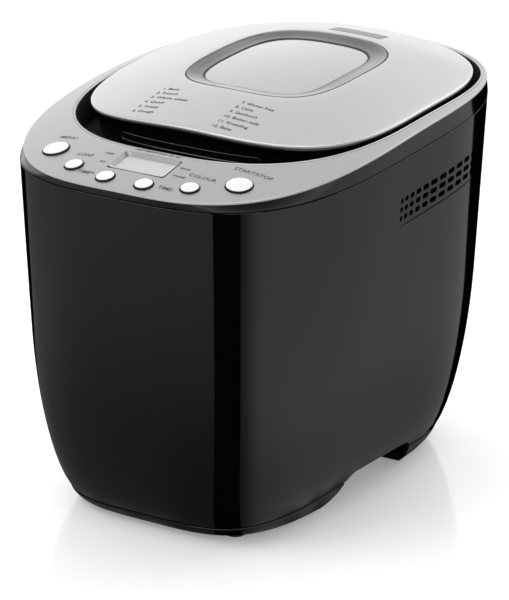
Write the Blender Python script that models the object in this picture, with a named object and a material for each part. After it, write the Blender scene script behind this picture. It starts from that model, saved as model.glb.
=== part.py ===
"""A countertop bread machine: glossy tub, silver deck and domed lid over a baking chamber.

World frame in metres: +Z up with the floor at zero, +X to the right of someone who faces
the control panel, and the panel towards -Y.  The origin is the middle of the footprint.
Heights that follow a curved surface are functions of the place; plan shapes are outlines,
rounded oblongs that are set by their half sizes and by how square their corners are.
"""
import math
from collections import namedtuple

import bmesh
import bpy
from mathutils import Matrix, Vector

MM = 0.001

# Plan shapes: half width, reach to front and rear, squareness front and rear, centre line.
Outline = namedtuple("Outline", "half_width front rear front_power rear_power centre_y")
DECK = Outline(0.1278, 0.1750, 0.1750, 2.80, 2.86, 0.0)
SEAM = Outline(0.1249, 0.1729, 0.1729, 3.26, 3.12, 0.001)
OPENING = Outline(0.1179, 0.1348, 0.1521, 2.54, 3.25, 0.0135)
LID = Outline(0.1149, 0.1231, 0.1255, 2.96, 3.15, 0.0281)
WINDOW = Outline(0.0586, 0.0696, 0.0696, 3.17, 3.17, 0.0357)
GLASS = Outline(0.0460, 0.0563, 0.0563, 3.70, 3.70, 0.0349)
CHAMBER = Outline(0.0880, 0.1070, 0.1070, 5.00, 5.00, 0.030)
PAN = Outline(0.0660, 0.0860, 0.0860, 4.00, 4.00, 0.030)
RING_POINTS = 28
PANE_POINTS = 20
TUB_POINTS = 36

# Height of the deck, the lid and the seam under the deck band.
DECK_Z = 0.277
LID_RISE = 9.0 * MM
SEAM_Z = 0.2506
SEAM_SLOPE = 0.0587

# The tub narrows towards the floor and rounds under near it.
WALL = 2.5 * MM
GAP = 0.4 * MM
BASE_Z = 2.5 * MM
TUB_TAPER = (0.067, 0.063)
UNDER_ROUND = (24.8 * MM, 23.3 * MM)
UNDER_ROUND_HEIGHT = 0.1257
BASE_POWER = 3.76
TUB_LEVELS = (0.0, 0.27, 0.53, 0.70, 0.83, 0.92, 1.0)
PLINTH_TOP_Z = 12.5 * MM
PLINTH_FLOOR_Z = (3.5 * MM, 6.0 * MM)
PLINTH_LIP_Z = 29.2 * MM

# Hand arches, cut in both long sides of the base.
ARCH_FRONT_Y = -0.054
ARCH_REAR_Y = 0.058
ARCH_TOP_Z = 26.5 * MM
ARCH_INNER_X = 54.0 * MM
ARCH_RAMP = 17.0 * MM

# Ventilation slots: three rows under the seam, on a pitch that grows towards the rear.
VENT_ROW_DEPTHS = (30.0 * MM, 36.3 * MM, 42.6 * MM)
VENT_COLUMNS = 13
VENT_START_Y = -15.0 * MM
VENT_FIRST_PITCH = 6.0 * MM
VENT_PITCH_STEP = 1.25 * MM
VENT_LAST_PITCH = 12.3 * MM
VENT_HEIGHT = 3.8 * MM
VENT_FILL = 0.68
VENT_END_SHARE = 0.97

# Deck skin, the band under it and the trough around the lid.
SKIN = 1.4 * MM
BAND_WALL = 2.0 * MM
TROUGH_Z = 0.2425
TROUGH_DRAFT = 3.0 * MM

# Control panel.
LARGE_BUTTON = 9.0 * MM
SMALL_BUTTON = 6.4 * MM
BUTTONS = {
    "button_menu": (-72.1 * MM, -136.3 * MM, LARGE_BUTTON),
    "button_loaf_size": (-45.5 * MM, -153.6 * MM, SMALL_BUTTON),
    "button_time_plus": (-15.1 * MM, -161.5 * MM, SMALL_BUTTON),
    "button_time_minus": (15.1 * MM, -161.5 * MM, SMALL_BUTTON),
    "button_crust_colour": (45.5 * MM, -153.6 * MM, SMALL_BUTTON),
    "button_start_stop": (72.1 * MM, -136.3 * MM, LARGE_BUTTON),
}
BUTTON_CLEARANCE = 0.5 * MM
DISPLAY_CENTRE = (0.0, -139.0 * MM)
DISPLAY_HALF = (22.4 * MM, 11.2 * MM)
BOARD_DEPTH = 24.0 * MM

# Lid parts.
PLATE_EDGE = 3.6 * MM
PLATE_THICKNESS = 2.2 * MM
LID_FLANGE_Z = (0.2455, 0.2475)
LINER_Z = (0.2479, 0.2580)
GRILLE_SLOTS = 4
GRILLE_Y = 113.0 * MM
GRILLE_PITCH = 3.6 * MM
GRILLE_SLOT = (38.0 * MM, 1.9 * MM)

# Hinge: one knuckle on the lid between two brackets on the band.
HINGE_Y = 0.1622
HINGE_Z = 0.2685
KNUCKLE_RADIUS = 6.2 * MM
KNUCKLE_HALF = 31.5 * MM
HINGE_NOTCH_HALF = 37.5 * MM
BRACKET_X = (34.5 * MM, 41.5 * MM)
BRACKET_POCKET_HALF = 42.0 * MM
PIN_RADIUS = 2.0 * MM
PIN_BORE = 2.3 * MM
HINGE_POCKET_Y = (0.1400, 0.1692)

# Chamber, pan and bail.
CHAMBER_RIM_Z = 0.2400
CHAMBER_FLOOR_Z = 0.0480
SHEET = 1.0 * MM
CHAMBER_DRAFT = 3.0 * MM
DRIVE_Y = 0.030
PAN_Z = (0.0620, 0.1900)
PAN_WALL = 1.6 * MM
PAN_FLOOR = 2.0 * MM
PAN_DRAFT = 6.0 * MM
PAN_RIM = 3.0 * MM
BAIL_Z = 0.1800
BAIL_REACH = 60.0 * MM
BAIL_WIRE = 2.8 * MM
BAIL_ARM_Y = 94.5 * MM
BAIL_END_Y = 83.0 * MM
BAIL_REST_ANGLE = math.radians(17.0)
HEATER_Z = 0.074
HEATER_WIRE = 3.2 * MM
HEATER_TERMINAL_X = 40.0 * MM

# Drive train under the chamber.
CHASSIS_Z = (30.2 * MM, 31.7 * MM)
MOTOR_Y = -0.1155
SHAFT_RADIUS = 4.0 * MM
SHAFT_BORE = 4.4 * MM
LARGE_PULLEY_RADIUS = 46.0 * MM
SMALL_PULLEY_RADIUS = 7.0 * MM
PULLEY_Z = (13.5 * MM, 23.5 * MM)
BELT_THICKNESS = 1.6 * MM

# Fasteners and feet.
SCREW_PLACES = {"front_left": (-62 * MM, -95 * MM), "front_right": (62 * MM, -95 * MM),
                "rear_left": (-62 * MM, 98 * MM), "rear_right": (62 * MM, 98 * MM)}
FOOT_PLACES = {"front_left": (-56 * MM, -113 * MM), "front_right": (56 * MM, -113 * MM),
               "rear_left": (-56 * MM, 113 * MM), "rear_right": (56 * MM, 113 * MM)}
STANDOFF_PLACES = {"front_left": (-58 * MM, -42 * MM), "front_right": (58 * MM, -42 * MM),
                   "rear_left": (-58 * MM, 102 * MM), "rear_right": (58 * MM, 102 * MM)}
SCREW_HOLE = 2.1 * MM
GLAND_X = -30.0 * MM
GLAND_Z = 75.0 * MM


def clear_scene():
    for obj in list(bpy.data.objects):
        bpy.data.objects.remove(obj, do_unlink=True)


# ---------------------------------------------------------------- surfaces and outlines

def deck_height(x, y):
    return DECK_Z + 0.080 * y - 0.66 * x * x - 0.52 * y * y


def lid_height(x, y):
    return DECK_Z + LID_RISE + 0.102 * y - 1.2 * x * x - 0.656 * y * y


def seam_height(x, y):
    return SEAM_Z + SEAM_SLOPE * y


def below(surface, drop):
    """The same surface, lowered."""
    return lambda x, y: surface(x, y) - drop


def grown(outline, by):
    return outline._replace(half_width=outline.half_width + by, front=outline.front + by,
                            rear=outline.rear + by)


def mixed(first, second, share):
    """An outline part of the way from the first to the second."""
    return Outline(*(a + (b - a) * share for a, b in zip(first, second)))


def ring(outline, height, count=RING_POINTS):
    """Points round an outline; the height is a number or a surface."""
    points = []
    for step in range(count):
        angle = math.tau * (step + 0.5) / count
        across = math.cos(angle)
        along = math.sin(angle)
        reach = outline.rear if along > 0 else outline.front
        power = 2.0 / (outline.rear_power if along > 0 else outline.front_power)
        x = math.copysign(outline.half_width * abs(across) ** power, across)
        y = outline.centre_y + math.copysign(reach * abs(along) ** power, along)
        points.append((x, y, height(x, y) if callable(height) else height))
    return points


def tub_outline(z):
    """Outline of the tub's outside at a height below the seam."""
    depth = SEAM_Z - z
    turn = min(max((BASE_Z + UNDER_ROUND_HEIGHT - z) / UNDER_ROUND_HEIGHT, 0.0), 1.0)
    arc = 1.0 - math.sqrt(1.0 - turn * turn)
    half_width = SEAM.half_width - TUB_TAPER[0] * depth - UNDER_ROUND[0] * arc
    reach = SEAM.front - TUB_TAPER[1] * depth - UNDER_ROUND[1] * arc
    share = depth / (SEAM_Z - BASE_Z)
    front_power = SEAM.front_power + (BASE_POWER - SEAM.front_power) * share
    rear_power = SEAM.rear_power + (BASE_POWER - SEAM.rear_power) * share
    return Outline(half_width, reach, reach, front_power, rear_power, SEAM.centre_y)


def tub_ring(level, inset, count):
    """A ring of the tub's wall, from the sloping seam at 0 down to the plinth at 1."""
    low = PLINTH_TOP_Z + GAP / 2

    def height(x, y):
        high = seam_height(x, y) - GAP / 2
        return high + (low - high) * level

    middle = SEAM_Z + (low - SEAM_Z) * level
    return ring(grown(tub_outline(middle), -inset), height, count)


# ---------------------------------------------------------------- making and placing meshes

def material(name, colour, roughness, metallic=0.0, transmission=0.0):
    """A Principled material, made once for each name."""
    found = bpy.data.materials.get(name)
    if found:
        return found
    made = bpy.data.materials.new(name)
    made.use_nodes = True
    shader = made.node_tree.nodes["Principled BSDF"]
    shader.inputs["Base Color"].default_value = (*colour, 1.0)
    shader.inputs["Roughness"].default_value = roughness
    shader.inputs["Metallic"].default_value = metallic
    shader.inputs["Transmission Weight"].default_value = transmission
    return made


def gloss_black():
    return material("gloss_black", (0.012, 0.012, 0.013), 0.12)


def satin_black():
    return material("satin_black", (0.02, 0.02, 0.021), 0.45)


def silver_paint():
    return material("silver_paint", (0.60, 0.60, 0.61), 0.32, 0.65)


def dark_chrome():
    return material("dark_chrome", (0.16, 0.16, 0.17), 0.18, 0.9)


def clear_glass():
    return material("clear_glass", (0.75, 0.78, 0.78), 0.03, 0.0, 0.85)


def galvanised_steel():
    return material("galvanised_steel", (0.48, 0.49, 0.50), 0.38, 1.0)


def aluminium():
    return material("aluminium", (0.62, 0.63, 0.64), 0.30, 1.0)


def coated_metal():
    return material("coated_metal", (0.055, 0.055, 0.058), 0.42, 0.35)


def rubber():
    return material("rubber", (0.02, 0.02, 0.02), 0.85)


def circuit_green():
    return material("circuit_green", (0.03, 0.17, 0.08), 0.5)


def pale_button():
    return material("pale_button", (0.74, 0.74, 0.75), 0.28, 0.3)


def nylon():
    return material("nylon", (0.62, 0.60, 0.55), 0.5)


def loft(rings, closed_run=False):
    """Skin a run of matching rings; a closed run comes back to its first ring."""
    bm = bmesh.new()
    loops = [[bm.verts.new(point) for point in points] for points in rings]
    pairs = list(zip(loops, loops[1:]))
    if closed_run:
        pairs.append((loops[-1], loops[0]))
    for first, second in pairs:
        for index in range(len(first)):
            bm.faces.new((first[index - 1], first[index], second[index], second[index - 1]))
    if not closed_run:
        bm.faces.new(loops[0])
        bm.faces.new(loops[-1])
    return faced_outwards(bm)


def faced_outwards(bm):
    bmesh.ops.recalc_face_normals(bm, faces=bm.faces)
    if bm.calc_volume(signed=True) < 0:
        bmesh.ops.reverse_faces(bm, faces=bm.faces)
    return bm


def circle(radius, z, sides):
    angles = [math.tau * (step + 0.5) / sides for step in range(sides)]
    return [(radius * math.cos(a), radius * math.sin(a), z) for a in angles]


def turned(profile, sides, bored=False):
    """A round piece about Z from (radius, z) pairs; a bored one has a closed profile."""
    return loft([circle(radius, z, sides) for radius, z in profile], closed_run=bored)


def block(low, high):
    """A box between two corners."""
    bm = bmesh.new()
    bmesh.ops.create_cube(bm, size=1.0)
    size = [b - a for a, b in zip(low, high)]
    middle = [(a + b) / 2 for a, b in zip(low, high)]
    bmesh.ops.scale(bm, verts=bm.verts, vec=size)
    bmesh.ops.translate(bm, verts=bm.verts, vec=middle)
    return bm


def prism(points, axis, start, end):
    """A flat outline pushed along X or Z; on X the points are (y, z)."""
    bm = bmesh.new()
    if axis == "X":
        verts = [bm.verts.new((start, a, b)) for a, b in points]
        push = (end - start, 0, 0)
    else:
        verts = [bm.verts.new((a, b, start)) for a, b in points]
        push = (0, 0, end - start)
    face = bm.faces.new(verts)
    grown_part = bmesh.ops.extrude_face_region(bm, geom=[face])["geom"]
    moved = [item for item in grown_part if isinstance(item, bmesh.types.BMVert)]
    bmesh.ops.translate(bm, verts=moved, vec=push)
    return faced_outwards(bm)


def moved_mesh(bm, matrix):
    bmesh.ops.transform(bm, verts=bm.verts, matrix=matrix)
    return bm


def joined(meshes):
    """Several bmeshes in one, each still its own body: used for cutters."""
    whole = bmesh.new()
    for bm in meshes:
        step = bpy.data.meshes.new("step")
        bm.to_mesh(step)
        bm.free()
        whole.from_mesh(step)
        bpy.data.meshes.remove(step)
    return whole


def add(name, bm, surface, origin=(0.0, 0.0, 0.0), pivot=None):
    """Make a named object from a mesh in world places, with its origin where asked."""
    bmesh.ops.translate(bm, verts=bm.verts, vec=-Vector(origin))
    mesh = bpy.data.meshes.new(name)
    bm.to_mesh(mesh)
    bm.free()
    mesh.shade_smooth()
    mesh.set_sharp_from_angle(angle=math.radians(35))
    mesh.materials.append(surface)
    obj = bpy.data.objects.new(name, mesh)
    bpy.context.collection.objects.link(obj)
    obj.location = Vector(origin)
    if pivot:
        obj.parent = pivot
        obj.location -= pivot.location
    return obj


def add_pivot(name, place):
    """An empty on a joint's axis, which its moving pieces hang from."""
    empty = bpy.data.objects.new(name, None)
    empty.location = place
    bpy.context.collection.objects.link(empty)
    return empty


def add_tool(name, bm):
    """A cutter or a piece to unite; it isn't part of the machine."""
    tool = add(name, bm, satin_black())
    tool.hide_render = True
    tool.display_type = "WIRE"
    return tool


def apply_tool(obj, tool, operation="DIFFERENCE"):
    step = obj.modifiers.new(tool.name, "BOOLEAN")
    step.object = tool
    step.operation = operation
    step.solver = "EXACT"


def surface_frame(x, y):
    """Axes at a place on the deck, with Z along the outward normal."""
    slope_x = (deck_height(x + MM, y) - deck_height(x - MM, y)) / (2 * MM)
    slope_y = (deck_height(x, y + MM) - deck_height(x, y - MM)) / (2 * MM)
    normal = Vector((-slope_x, -slope_y, 1.0)).normalized()
    across = Vector((1.0, 0.0, slope_x)).normalized()
    up_slope = normal.cross(across)
    turn = Matrix((across, up_slope, normal)).transposed().to_4x4()
    return Matrix.Translation((x, y, deck_height(x, y))) @ turn


# ---------------------------------------------------------------- tub, plinth and feet

def arch_cutter(name, margin):
    """The hand arches, as two prisms; the margin makes them larger all round."""
    front = ARCH_FRONT_Y - margin
    rear = ARCH_REAR_Y + margin
    top = ARCH_TOP_Z + margin
    outline = [(front, -MM), (front + 3 * MM, 8 * MM), (front + ARCH_RAMP * 0.45, top - 6 * MM),
               (front + ARCH_RAMP, top - MM), (front + ARCH_RAMP * 1.6, top),
               (rear - ARCH_RAMP * 0.6, top), (rear - ARCH_RAMP * 0.2, top - 3 * MM),
               (rear, top - 9 * MM), (rear, -MM)]
    reach = SEAM.half_width + 10 * MM
    inner = ARCH_INNER_X - margin
    sides = [prism(outline, "X", inner, reach), prism(outline, "X", -reach, -inner)]
    return add_tool(name, joined(sides))


def vent_places():
    """(place, outward direction, width) of each ventilation column, on the right side."""
    outline = tub_outline(SEAM_Z - VENT_ROW_DEPTHS[1])
    fine = [Vector(point) for point in ring(outline, 0.0, 720)]
    fine = [point for point in fine if point.x > 0]
    fine = [point for point in fine if VENT_START_Y <= point.y < outline.rear * VENT_END_SHARE]
    fine.sort(key=lambda point: point.y)
    places = []
    pitch = VENT_FIRST_PITCH
    travel = 0.0
    due = 0.0
    for here, following in zip(fine, fine[1:]):
        run = following - here
        while travel + run.length > due and len(places) < VENT_COLUMNS:
            outward = Vector((run.y, -run.x, 0.0)).normalized()
            place = here + run * ((due - travel) / run.length)
            places.append((place, outward, pitch * VENT_FILL))
            due += pitch
            pitch = min(pitch + VENT_PITCH_STEP, VENT_LAST_PITCH)
        travel += run.length
    return places


def vent_cutter():
    slots = []
    for side in (1, -1):
        for place, outward, width in vent_places():
            for depth in VENT_ROW_DEPTHS:
                slot = block((-4 * MM, -width / 2, -VENT_HEIGHT / 2),
                             (4 * MM, width / 2, VENT_HEIGHT / 2))
                z = seam_height(place.x, place.y) - depth
                turn = Matrix.Rotation(math.atan2(outward.y, side * outward.x), 4, "Z")
                seat = Matrix.Translation((side * place.x, place.y, z))
                slots.append(moved_mesh(slot, seat @ turn))
    return add_tool("vent_slots", joined(slots))


def build_tub(arch):
    count = TUB_POINTS
    outer = [tub_ring(level, 0.0, count) for level in TUB_LEVELS]
    inner = [tub_ring(level, WALL, count) for level in reversed(TUB_LEVELS)]
    tub = add("body_shell", loft(outer + inner, closed_run=True), gloss_black())
    apply_tool(tub, arch)
    apply_tool(tub, vent_cutter())
    hole = turned([(6.4 * MM, -15 * MM), (6.4 * MM, 15 * MM)], 12)
    apply_tool(tub, add_tool("gland_hole", moved_mesh(hole, gland_frame())))


def build_plinth(arch):
    step = WALL + GAP
    bottom = grown(tub_outline(PLINTH_FLOOR_Z[0]), -2 * MM)
    rings = [ring(bottom, PLINTH_FLOOR_Z[0], TUB_POINTS)]
    seam_z = PLINTH_TOP_Z - GAP / 2
    for z in (4.5 * MM, 8 * MM, seam_z):
        rings.append(ring(tub_outline(z), z, TUB_POINTS))
    for z in (seam_z, PLINTH_LIP_Z):
        rings.append(ring(grown(tub_outline(z), -step), z, TUB_POINTS))
    plinth = add("base_plinth", loft(rings), gloss_black())
    hollow = [ring(grown(tub_outline(z), -step - WALL), z, TUB_POINTS)
              for z in (PLINTH_FLOOR_Z[1], 14 * MM, PLINTH_LIP_Z + 2 * MM)]
    hollow_tool = add_tool("plinth_hollow", loft(hollow))
    apply_tool(hollow_tool, arch_cutter("arch_walls", WALL))
    apply_tool(plinth, hollow_tool)
    apply_tool(plinth, arch)
    bosses = []
    holes = []
    for x, y in SCREW_PLACES.values():
        seat = Matrix.Translation((x, y, 0))
        boss = turned([(4.5 * MM, PLINTH_FLOOR_Z[1] - MM), (4.5 * MM, CHASSIS_Z[0] - GAP)], 12)
        bosses.append(moved_mesh(boss, seat))
        hole = turned([(SCREW_HOLE, 0), (SCREW_HOLE, CHASSIS_Z[1] + MM)], 8)
        holes.append(moved_mesh(hole, seat))
    apply_tool(plinth, add_tool("screw_bosses", joined(bosses)), "UNION")
    screw_holes = add_tool("screw_holes", joined(holes))
    apply_tool(plinth, screw_holes)
    return screw_holes


def build_feet():
    for name, (x, y) in FOOT_PLACES.items():
        foot = turned([(7 * MM, 0), (8 * MM, MM), (8 * MM, 3.2 * MM)], 12)
        place = (x, y, 0)
        add("foot_" + name, moved_mesh(foot, Matrix.Translation(place)), rubber(), place)


def build_screws():
    profile = [(2.4 * MM, 1.0 * MM), (3.5 * MM, 1.8 * MM), (3.5 * MM, 3.1 * MM),
               (1.7 * MM, 3.1 * MM), (1.7 * MM, 34 * MM), (0.6 * MM, 36 * MM)]
    for name, (x, y) in SCREW_PLACES.items():
        screw = moved_mesh(turned(profile, 6), Matrix.Translation((x, y, 0)))
        add("base_screw_" + name, screw, galvanised_steel(), (x, y, 0))


def gland_frame():
    """Seat of the cord gland on the rear wall, Z pointing straight out to the rear."""
    wall = tub_outline(GLAND_Z)
    share = 1 - abs(GLAND_X / wall.half_width) ** wall.rear_power
    y = wall.centre_y + wall.rear * share ** (1 / wall.rear_power)
    return Matrix.Translation((GLAND_X, y, GLAND_Z)) @ Matrix.Rotation(math.radians(-90), 4, "X")


def build_gland():
    profile = [(3.6 * MM, -7 * MM), (6.0 * MM, -7 * MM), (6.0 * MM, 1.8 * MM),
               (8.5 * MM, 1.8 * MM), (7.5 * MM, 4.2 * MM), (5.2 * MM, 8 * MM),
               (3.6 * MM, 8 * MM)]
    gland = moved_mesh(turned(profile, 12, bored=True), gland_frame())
    add("cord_gland", gland, rubber(), gland_frame().translation)


# ---------------------------------------------------------------- deck, band and panel

def panel_cutter():
    """Openings for the buttons and the display, through the skin and the band."""
    openings = []
    for x, y, radius in BUTTONS.values():
        hole = turned([(radius + BUTTON_CLEARANCE, -8 * MM), (radius + BUTTON_CLEARANCE, 5 * MM)], 12)
        openings.append(moved_mesh(hole, surface_frame(x, y)))
    half_x, half_y = DISPLAY_HALF
    hole = block((-half_x, -half_y, -7 * MM), (half_x, half_y, 5 * MM))
    openings.append(moved_mesh(hole, surface_frame(*DISPLAY_CENTRE)))
    return add_tool("panel_openings", joined(openings))


def build_deck(openings):
    rings = [ring(grown(DECK, -0.3 * MM), below(deck_height, SKIN)),
             ring(DECK, below(deck_height, 0.8 * MM)),
             ring(grown(DECK, -1.0 * MM), deck_height),
             ring(mixed(DECK, OPENING, 0.5), deck_height),
             ring(grown(OPENING, 1.0 * MM), deck_height),
             ring(OPENING, below(deck_height, 0.8 * MM)),
             ring(OPENING, below(deck_height, SKIN)),
             ring(mixed(DECK, OPENING, 0.5), below(deck_height, SKIN))]
    deck = add("deck_panel", loft(rings, closed_run=True), silver_paint())
    apply_tool(deck, openings)
    notch = block((-HINGE_NOTCH_HALF, HINGE_POCKET_Y[0], 0.250),
                  (HINGE_NOTCH_HALF, HINGE_POCKET_Y[1], 0.295))
    apply_tool(deck, add_tool("deck_hinge_notch", notch))


def build_band(openings):
    under_skin = below(deck_height, SKIN + GAP)
    flange_under = below(deck_height, SKIN + GAP + BAND_WALL)
    seam = below(seam_height, -GAP / 2)
    trough = grown(OPENING, -TROUGH_DRAFT)
    mouth = grown(CHAMBER, 3 * MM)
    trough_under = TROUGH_Z - BAND_WALL
    rings = [ring(SEAM, seam),
             ring(grown(DECK, -0.5 * MM), under_skin),
             ring(mixed(DECK, OPENING, 0.5), under_skin),
             ring(grown(OPENING, 0.3 * MM), under_skin),
             ring(trough, TROUGH_Z),
             ring(mouth, TROUGH_Z),
             ring(mouth, trough_under),
             ring(grown(trough, BAND_WALL), trough_under),
             ring(grown(OPENING, 0.3 * MM + BAND_WALL), flange_under),
             ring(grown(DECK, -3 * MM), flange_under),
             ring(grown(SEAM, -WALL), seam)]
    band = add("top_band", loft(rings, closed_run=True), gloss_black())
    apply_tool(band, openings)
    pocket = block((-BRACKET_POCKET_HALF, HINGE_POCKET_Y[0], 0.252),
                   (BRACKET_POCKET_HALF, HINGE_POCKET_Y[1], 0.295))
    apply_tool(band, add_tool("band_hinge_pocket", pocket))


def build_buttons():
    for name, (x, y, radius) in BUTTONS.items():
        seat = surface_frame(x, y)
        profile = [(2.2 * MM, -15 * MM), (2.2 * MM, -6 * MM), (radius, -6 * MM),
                   (radius, 0.9 * MM), (radius - 0.8 * MM, 1.5 * MM), (radius * 0.5, 1.9 * MM)]
        pivot = add_pivot(name + "_travel", seat.translation)
        cap = moved_mesh(turned(profile, 12), seat)
        add(name, cap, pale_button(), seat.translation, pivot)


def build_display():
    seat = surface_frame(*DISPLAY_CENTRE)
    half_x, half_y = DISPLAY_HALF
    pane = block((-half_x + GAP, -half_y + GAP, -3.4 * MM), (half_x - GAP, half_y - GAP, -2.0 * MM))
    add("display_window", moved_mesh(pane, seat), clear_glass(), seat.translation)
    module = block((-half_x - 3 * MM, -half_y - 2 * MM, -11 * MM),
                   (half_x + 3 * MM, half_y + 2 * MM, -4.6 * MM))
    add("display_module", moved_mesh(module, seat), satin_black(), seat.translation)


def build_control_board():
    seat = surface_frame(*DISPLAY_CENTRE)
    half = [(80, -5), (80, 18), (-80, 18), (-80, -5), (-50, -19), (-30, -25), (30, -25), (50, -19)]
    outline = [(x * MM, y * MM) for x, y in half]
    board = prism(outline, "Z", -BOARD_DEPTH - 1.6 * MM, -BOARD_DEPTH)
    add("control_board", moved_mesh(board, seat), circuit_green(), seat.translation)


# ---------------------------------------------------------------- lid

def build_lid(pivot):
    origin = pivot.location
    under = below(lid_height, PLATE_THICKNESS)
    rings = [ring(grown(LID, -0.8 * MM), below(lid_height, PLATE_EDGE)),
             ring(LID, below(lid_height, 2.2 * MM)),
             ring(grown(LID, -0.4 * MM), below(lid_height, 0.8 * MM)),
             ring(grown(LID, -1.8 * MM), lid_height),
             ring(mixed(LID, WINDOW, 0.5), lid_height),
             ring(WINDOW, lid_height),
             ring(WINDOW, under),
             ring(mixed(LID, WINDOW, 0.5), under),
             ring(grown(LID, -3.4 * MM), under),
             ring(grown(LID, -3.4 * MM), below(lid_height, PLATE_EDGE))]
    plate = add("lid_top_plate", loft(rings, closed_run=True), silver_paint(), origin, pivot)
    slots = []
    for index in range(GRILLE_SLOTS):
        y = GRILLE_Y + index * GRILLE_PITCH
        half_x, half_y = GRILLE_SLOT[0] / 2, GRILLE_SLOT[1] / 2
        slots.append(block((-half_x, y - half_y, 0.270), (half_x, y + half_y, 0.300)))
    apply_tool(plate, add_tool("steam_slots", joined(slots)))

    bezel = [ring(grown(WINDOW, -GAP), below(lid_height, 0.3 * MM)),
             ring(GLASS, below(lid_height, 3.0 * MM)),
             ring(GLASS, below(lid_height, 4.2 * MM)),
             ring(grown(WINDOW, -GAP), below(lid_height, 2.4 * MM))]
    add("window_bezel", loft(bezel, closed_run=True), dark_chrome(), origin, pivot)
    add("window_glass", pane_mesh(grown(GLASS, 4 * MM), below(lid_height, 4.6 * MM), 2.5 * MM),
        clear_glass(), origin, pivot)
    build_lid_shell(pivot)
    build_liner(pivot)
    inner = grown(GLASS, 6 * MM)
    high = LINER_Z[1] + SHEET + 0.3 * MM + 2.5 * MM
    add("inner_glass", pane_mesh(inner, lambda x, y: high, 2.5 * MM), clear_glass(), origin, pivot)
    build_knuckle(pivot)


def pane_mesh(outline, top, thickness):
    """A pane that follows a surface, closed by rings that shrink to its middle."""
    shares = (0.5, 1.0)
    centre = outline._replace(half_width=0.0, front=0.0, rear=0.0)
    upper = [ring(mixed(centre, outline, share), top, PANE_POINTS) for share in shares]
    lower = [ring(mixed(centre, outline, share), below(top, thickness), PANE_POINTS)
             for share in reversed(shares)]
    return loft(upper + lower)


def build_lid_shell(pivot):
    top = below(lid_height, PLATE_EDGE + 0.3 * MM)
    low, high = LID_FLANGE_Z
    rings = [ring(grown(LID, -3.0 * MM), top),
             ring(grown(LID, -5.5 * MM), low),
             ring(grown(LID, -18 * MM), low),
             ring(grown(LID, -18 * MM), high),
             ring(grown(LID, -8 * MM), high),
             ring(grown(LID, -5.5 * MM), top)]
    add("lid_shell", loft(rings, closed_run=True), gloss_black(), pivot.location, pivot)


def build_liner(pivot):
    low, high = LINER_Z
    hole = grown(GLASS, 2 * MM)
    rings = [ring(grown(LID, -10 * MM), low),
             ring(grown(LID, -21 * MM), low),
             ring(grown(LID, -27 * MM), high),
             ring(hole, high),
             ring(hole, high + SHEET),
             ring(grown(LID, -26.2 * MM), high + SHEET),
             ring(grown(LID, -20.2 * MM), low + SHEET),
             ring(grown(LID, -10 * MM), low + SHEET)]
    add("lid_liner", loft(rings, closed_run=True), aluminium(), pivot.location, pivot)


def along_x(bm, y, z):
    """Lay a piece made about Z along X, at a height on the machine."""
    turn = Matrix.Rotation(math.radians(90), 4, "Y")
    return moved_mesh(bm, Matrix.Translation((0, y, z)) @ turn)


def build_knuckle(pivot):
    front = LID.centre_y + LID.rear - 2.2 * MM
    outline = [(front, HINGE_Z - 6 * MM)]
    for step in range(11):
        angle = math.radians(-100 + 200 * step / 10)
        outline.append((HINGE_Y + KNUCKLE_RADIUS * math.cos(angle),
                        HINGE_Z + KNUCKLE_RADIUS * math.sin(angle)))
    outline += [(front + 3.2 * MM, HINGE_Z + 6.4 * MM), (front, HINGE_Z + 13 * MM)]
    knuckle = add("hinge_knuckle", prism(outline, "X", -KNUCKLE_HALF, KNUCKLE_HALF),
                  silver_paint(), pivot.location, pivot)
    reach = BRACKET_X[1] + 5 * MM
    bore = along_x(turned([(PIN_BORE, -reach), (PIN_BORE, reach)], 12), HINGE_Y, HINGE_Z)
    bore_tool = add_tool("hinge_bore", bore)
    apply_tool(knuckle, bore_tool)
    for side, name in ((-1, "left"), (1, "right")):
        ends = sorted((side * BRACKET_X[0], side * BRACKET_X[1]))
        bracket = add("hinge_bracket_" + name,
                      block((ends[0], 0.1560, 0.2590), (ends[1], 0.1688, 0.2726)),
                      satin_black())
        apply_tool(bracket, bore_tool)
        ends = sorted((side * 18 * MM, side * (BRACKET_X[1] - 0.5 * MM)))
        pin = along_x(turned([(PIN_RADIUS, ends[0]), (PIN_RADIUS, ends[1])], 12), HINGE_Y, HINGE_Z)
        add("hinge_pin_" + name, pin, galvanised_steel())


# ---------------------------------------------------------------- chamber and what is in it

def build_chamber():
    floor = grown(CHAMBER, -CHAMBER_DRAFT)
    corner = grown(floor, -4 * MM)
    flange_low = CHAMBER_RIM_Z - SHEET
    floor_low = CHAMBER_FLOOR_Z - SHEET
    rings = [ring(grown(corner, SHEET), floor_low),
             ring(grown(floor, SHEET), floor_low + 4 * MM),
             ring(grown(CHAMBER, SHEET), flange_low),
             ring(grown(CHAMBER, 8 * MM), flange_low),
             ring(grown(CHAMBER, 8 * MM), CHAMBER_RIM_Z),
             ring(CHAMBER, CHAMBER_RIM_Z),
             ring(floor, CHAMBER_FLOOR_Z + 4 * MM),
             ring(corner, CHAMBER_FLOOR_Z)]
    chamber = add("oven_chamber", loft(rings), galvanised_steel())
    holes = [moved_mesh(turned([(8.2 * MM, 0.040), (8.2 * MM, 0.055)], 16),
                        Matrix.Translation((0, DRIVE_Y, 0)))]
    for side in (-1, 1):
        hole = turned([(4.2 * MM, -10 * MM), (4.2 * MM, 10 * MM)], 12)
        turn = Matrix.Rotation(math.radians(90), 4, "X")
        place = Matrix.Translation((side * HEATER_TERMINAL_X, CHAMBER.centre_y - CHAMBER.front, HEATER_Z))
        holes.append(moved_mesh(hole, place @ turn))
    sensor_hole = turned([(3.4 * MM, -0.095), (3.4 * MM, -0.080)], 12)
    holes.append(along_x(sensor_hole, DRIVE_Y, 0.100))
    apply_tool(chamber, add_tool("chamber_holes", joined(holes)))


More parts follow.
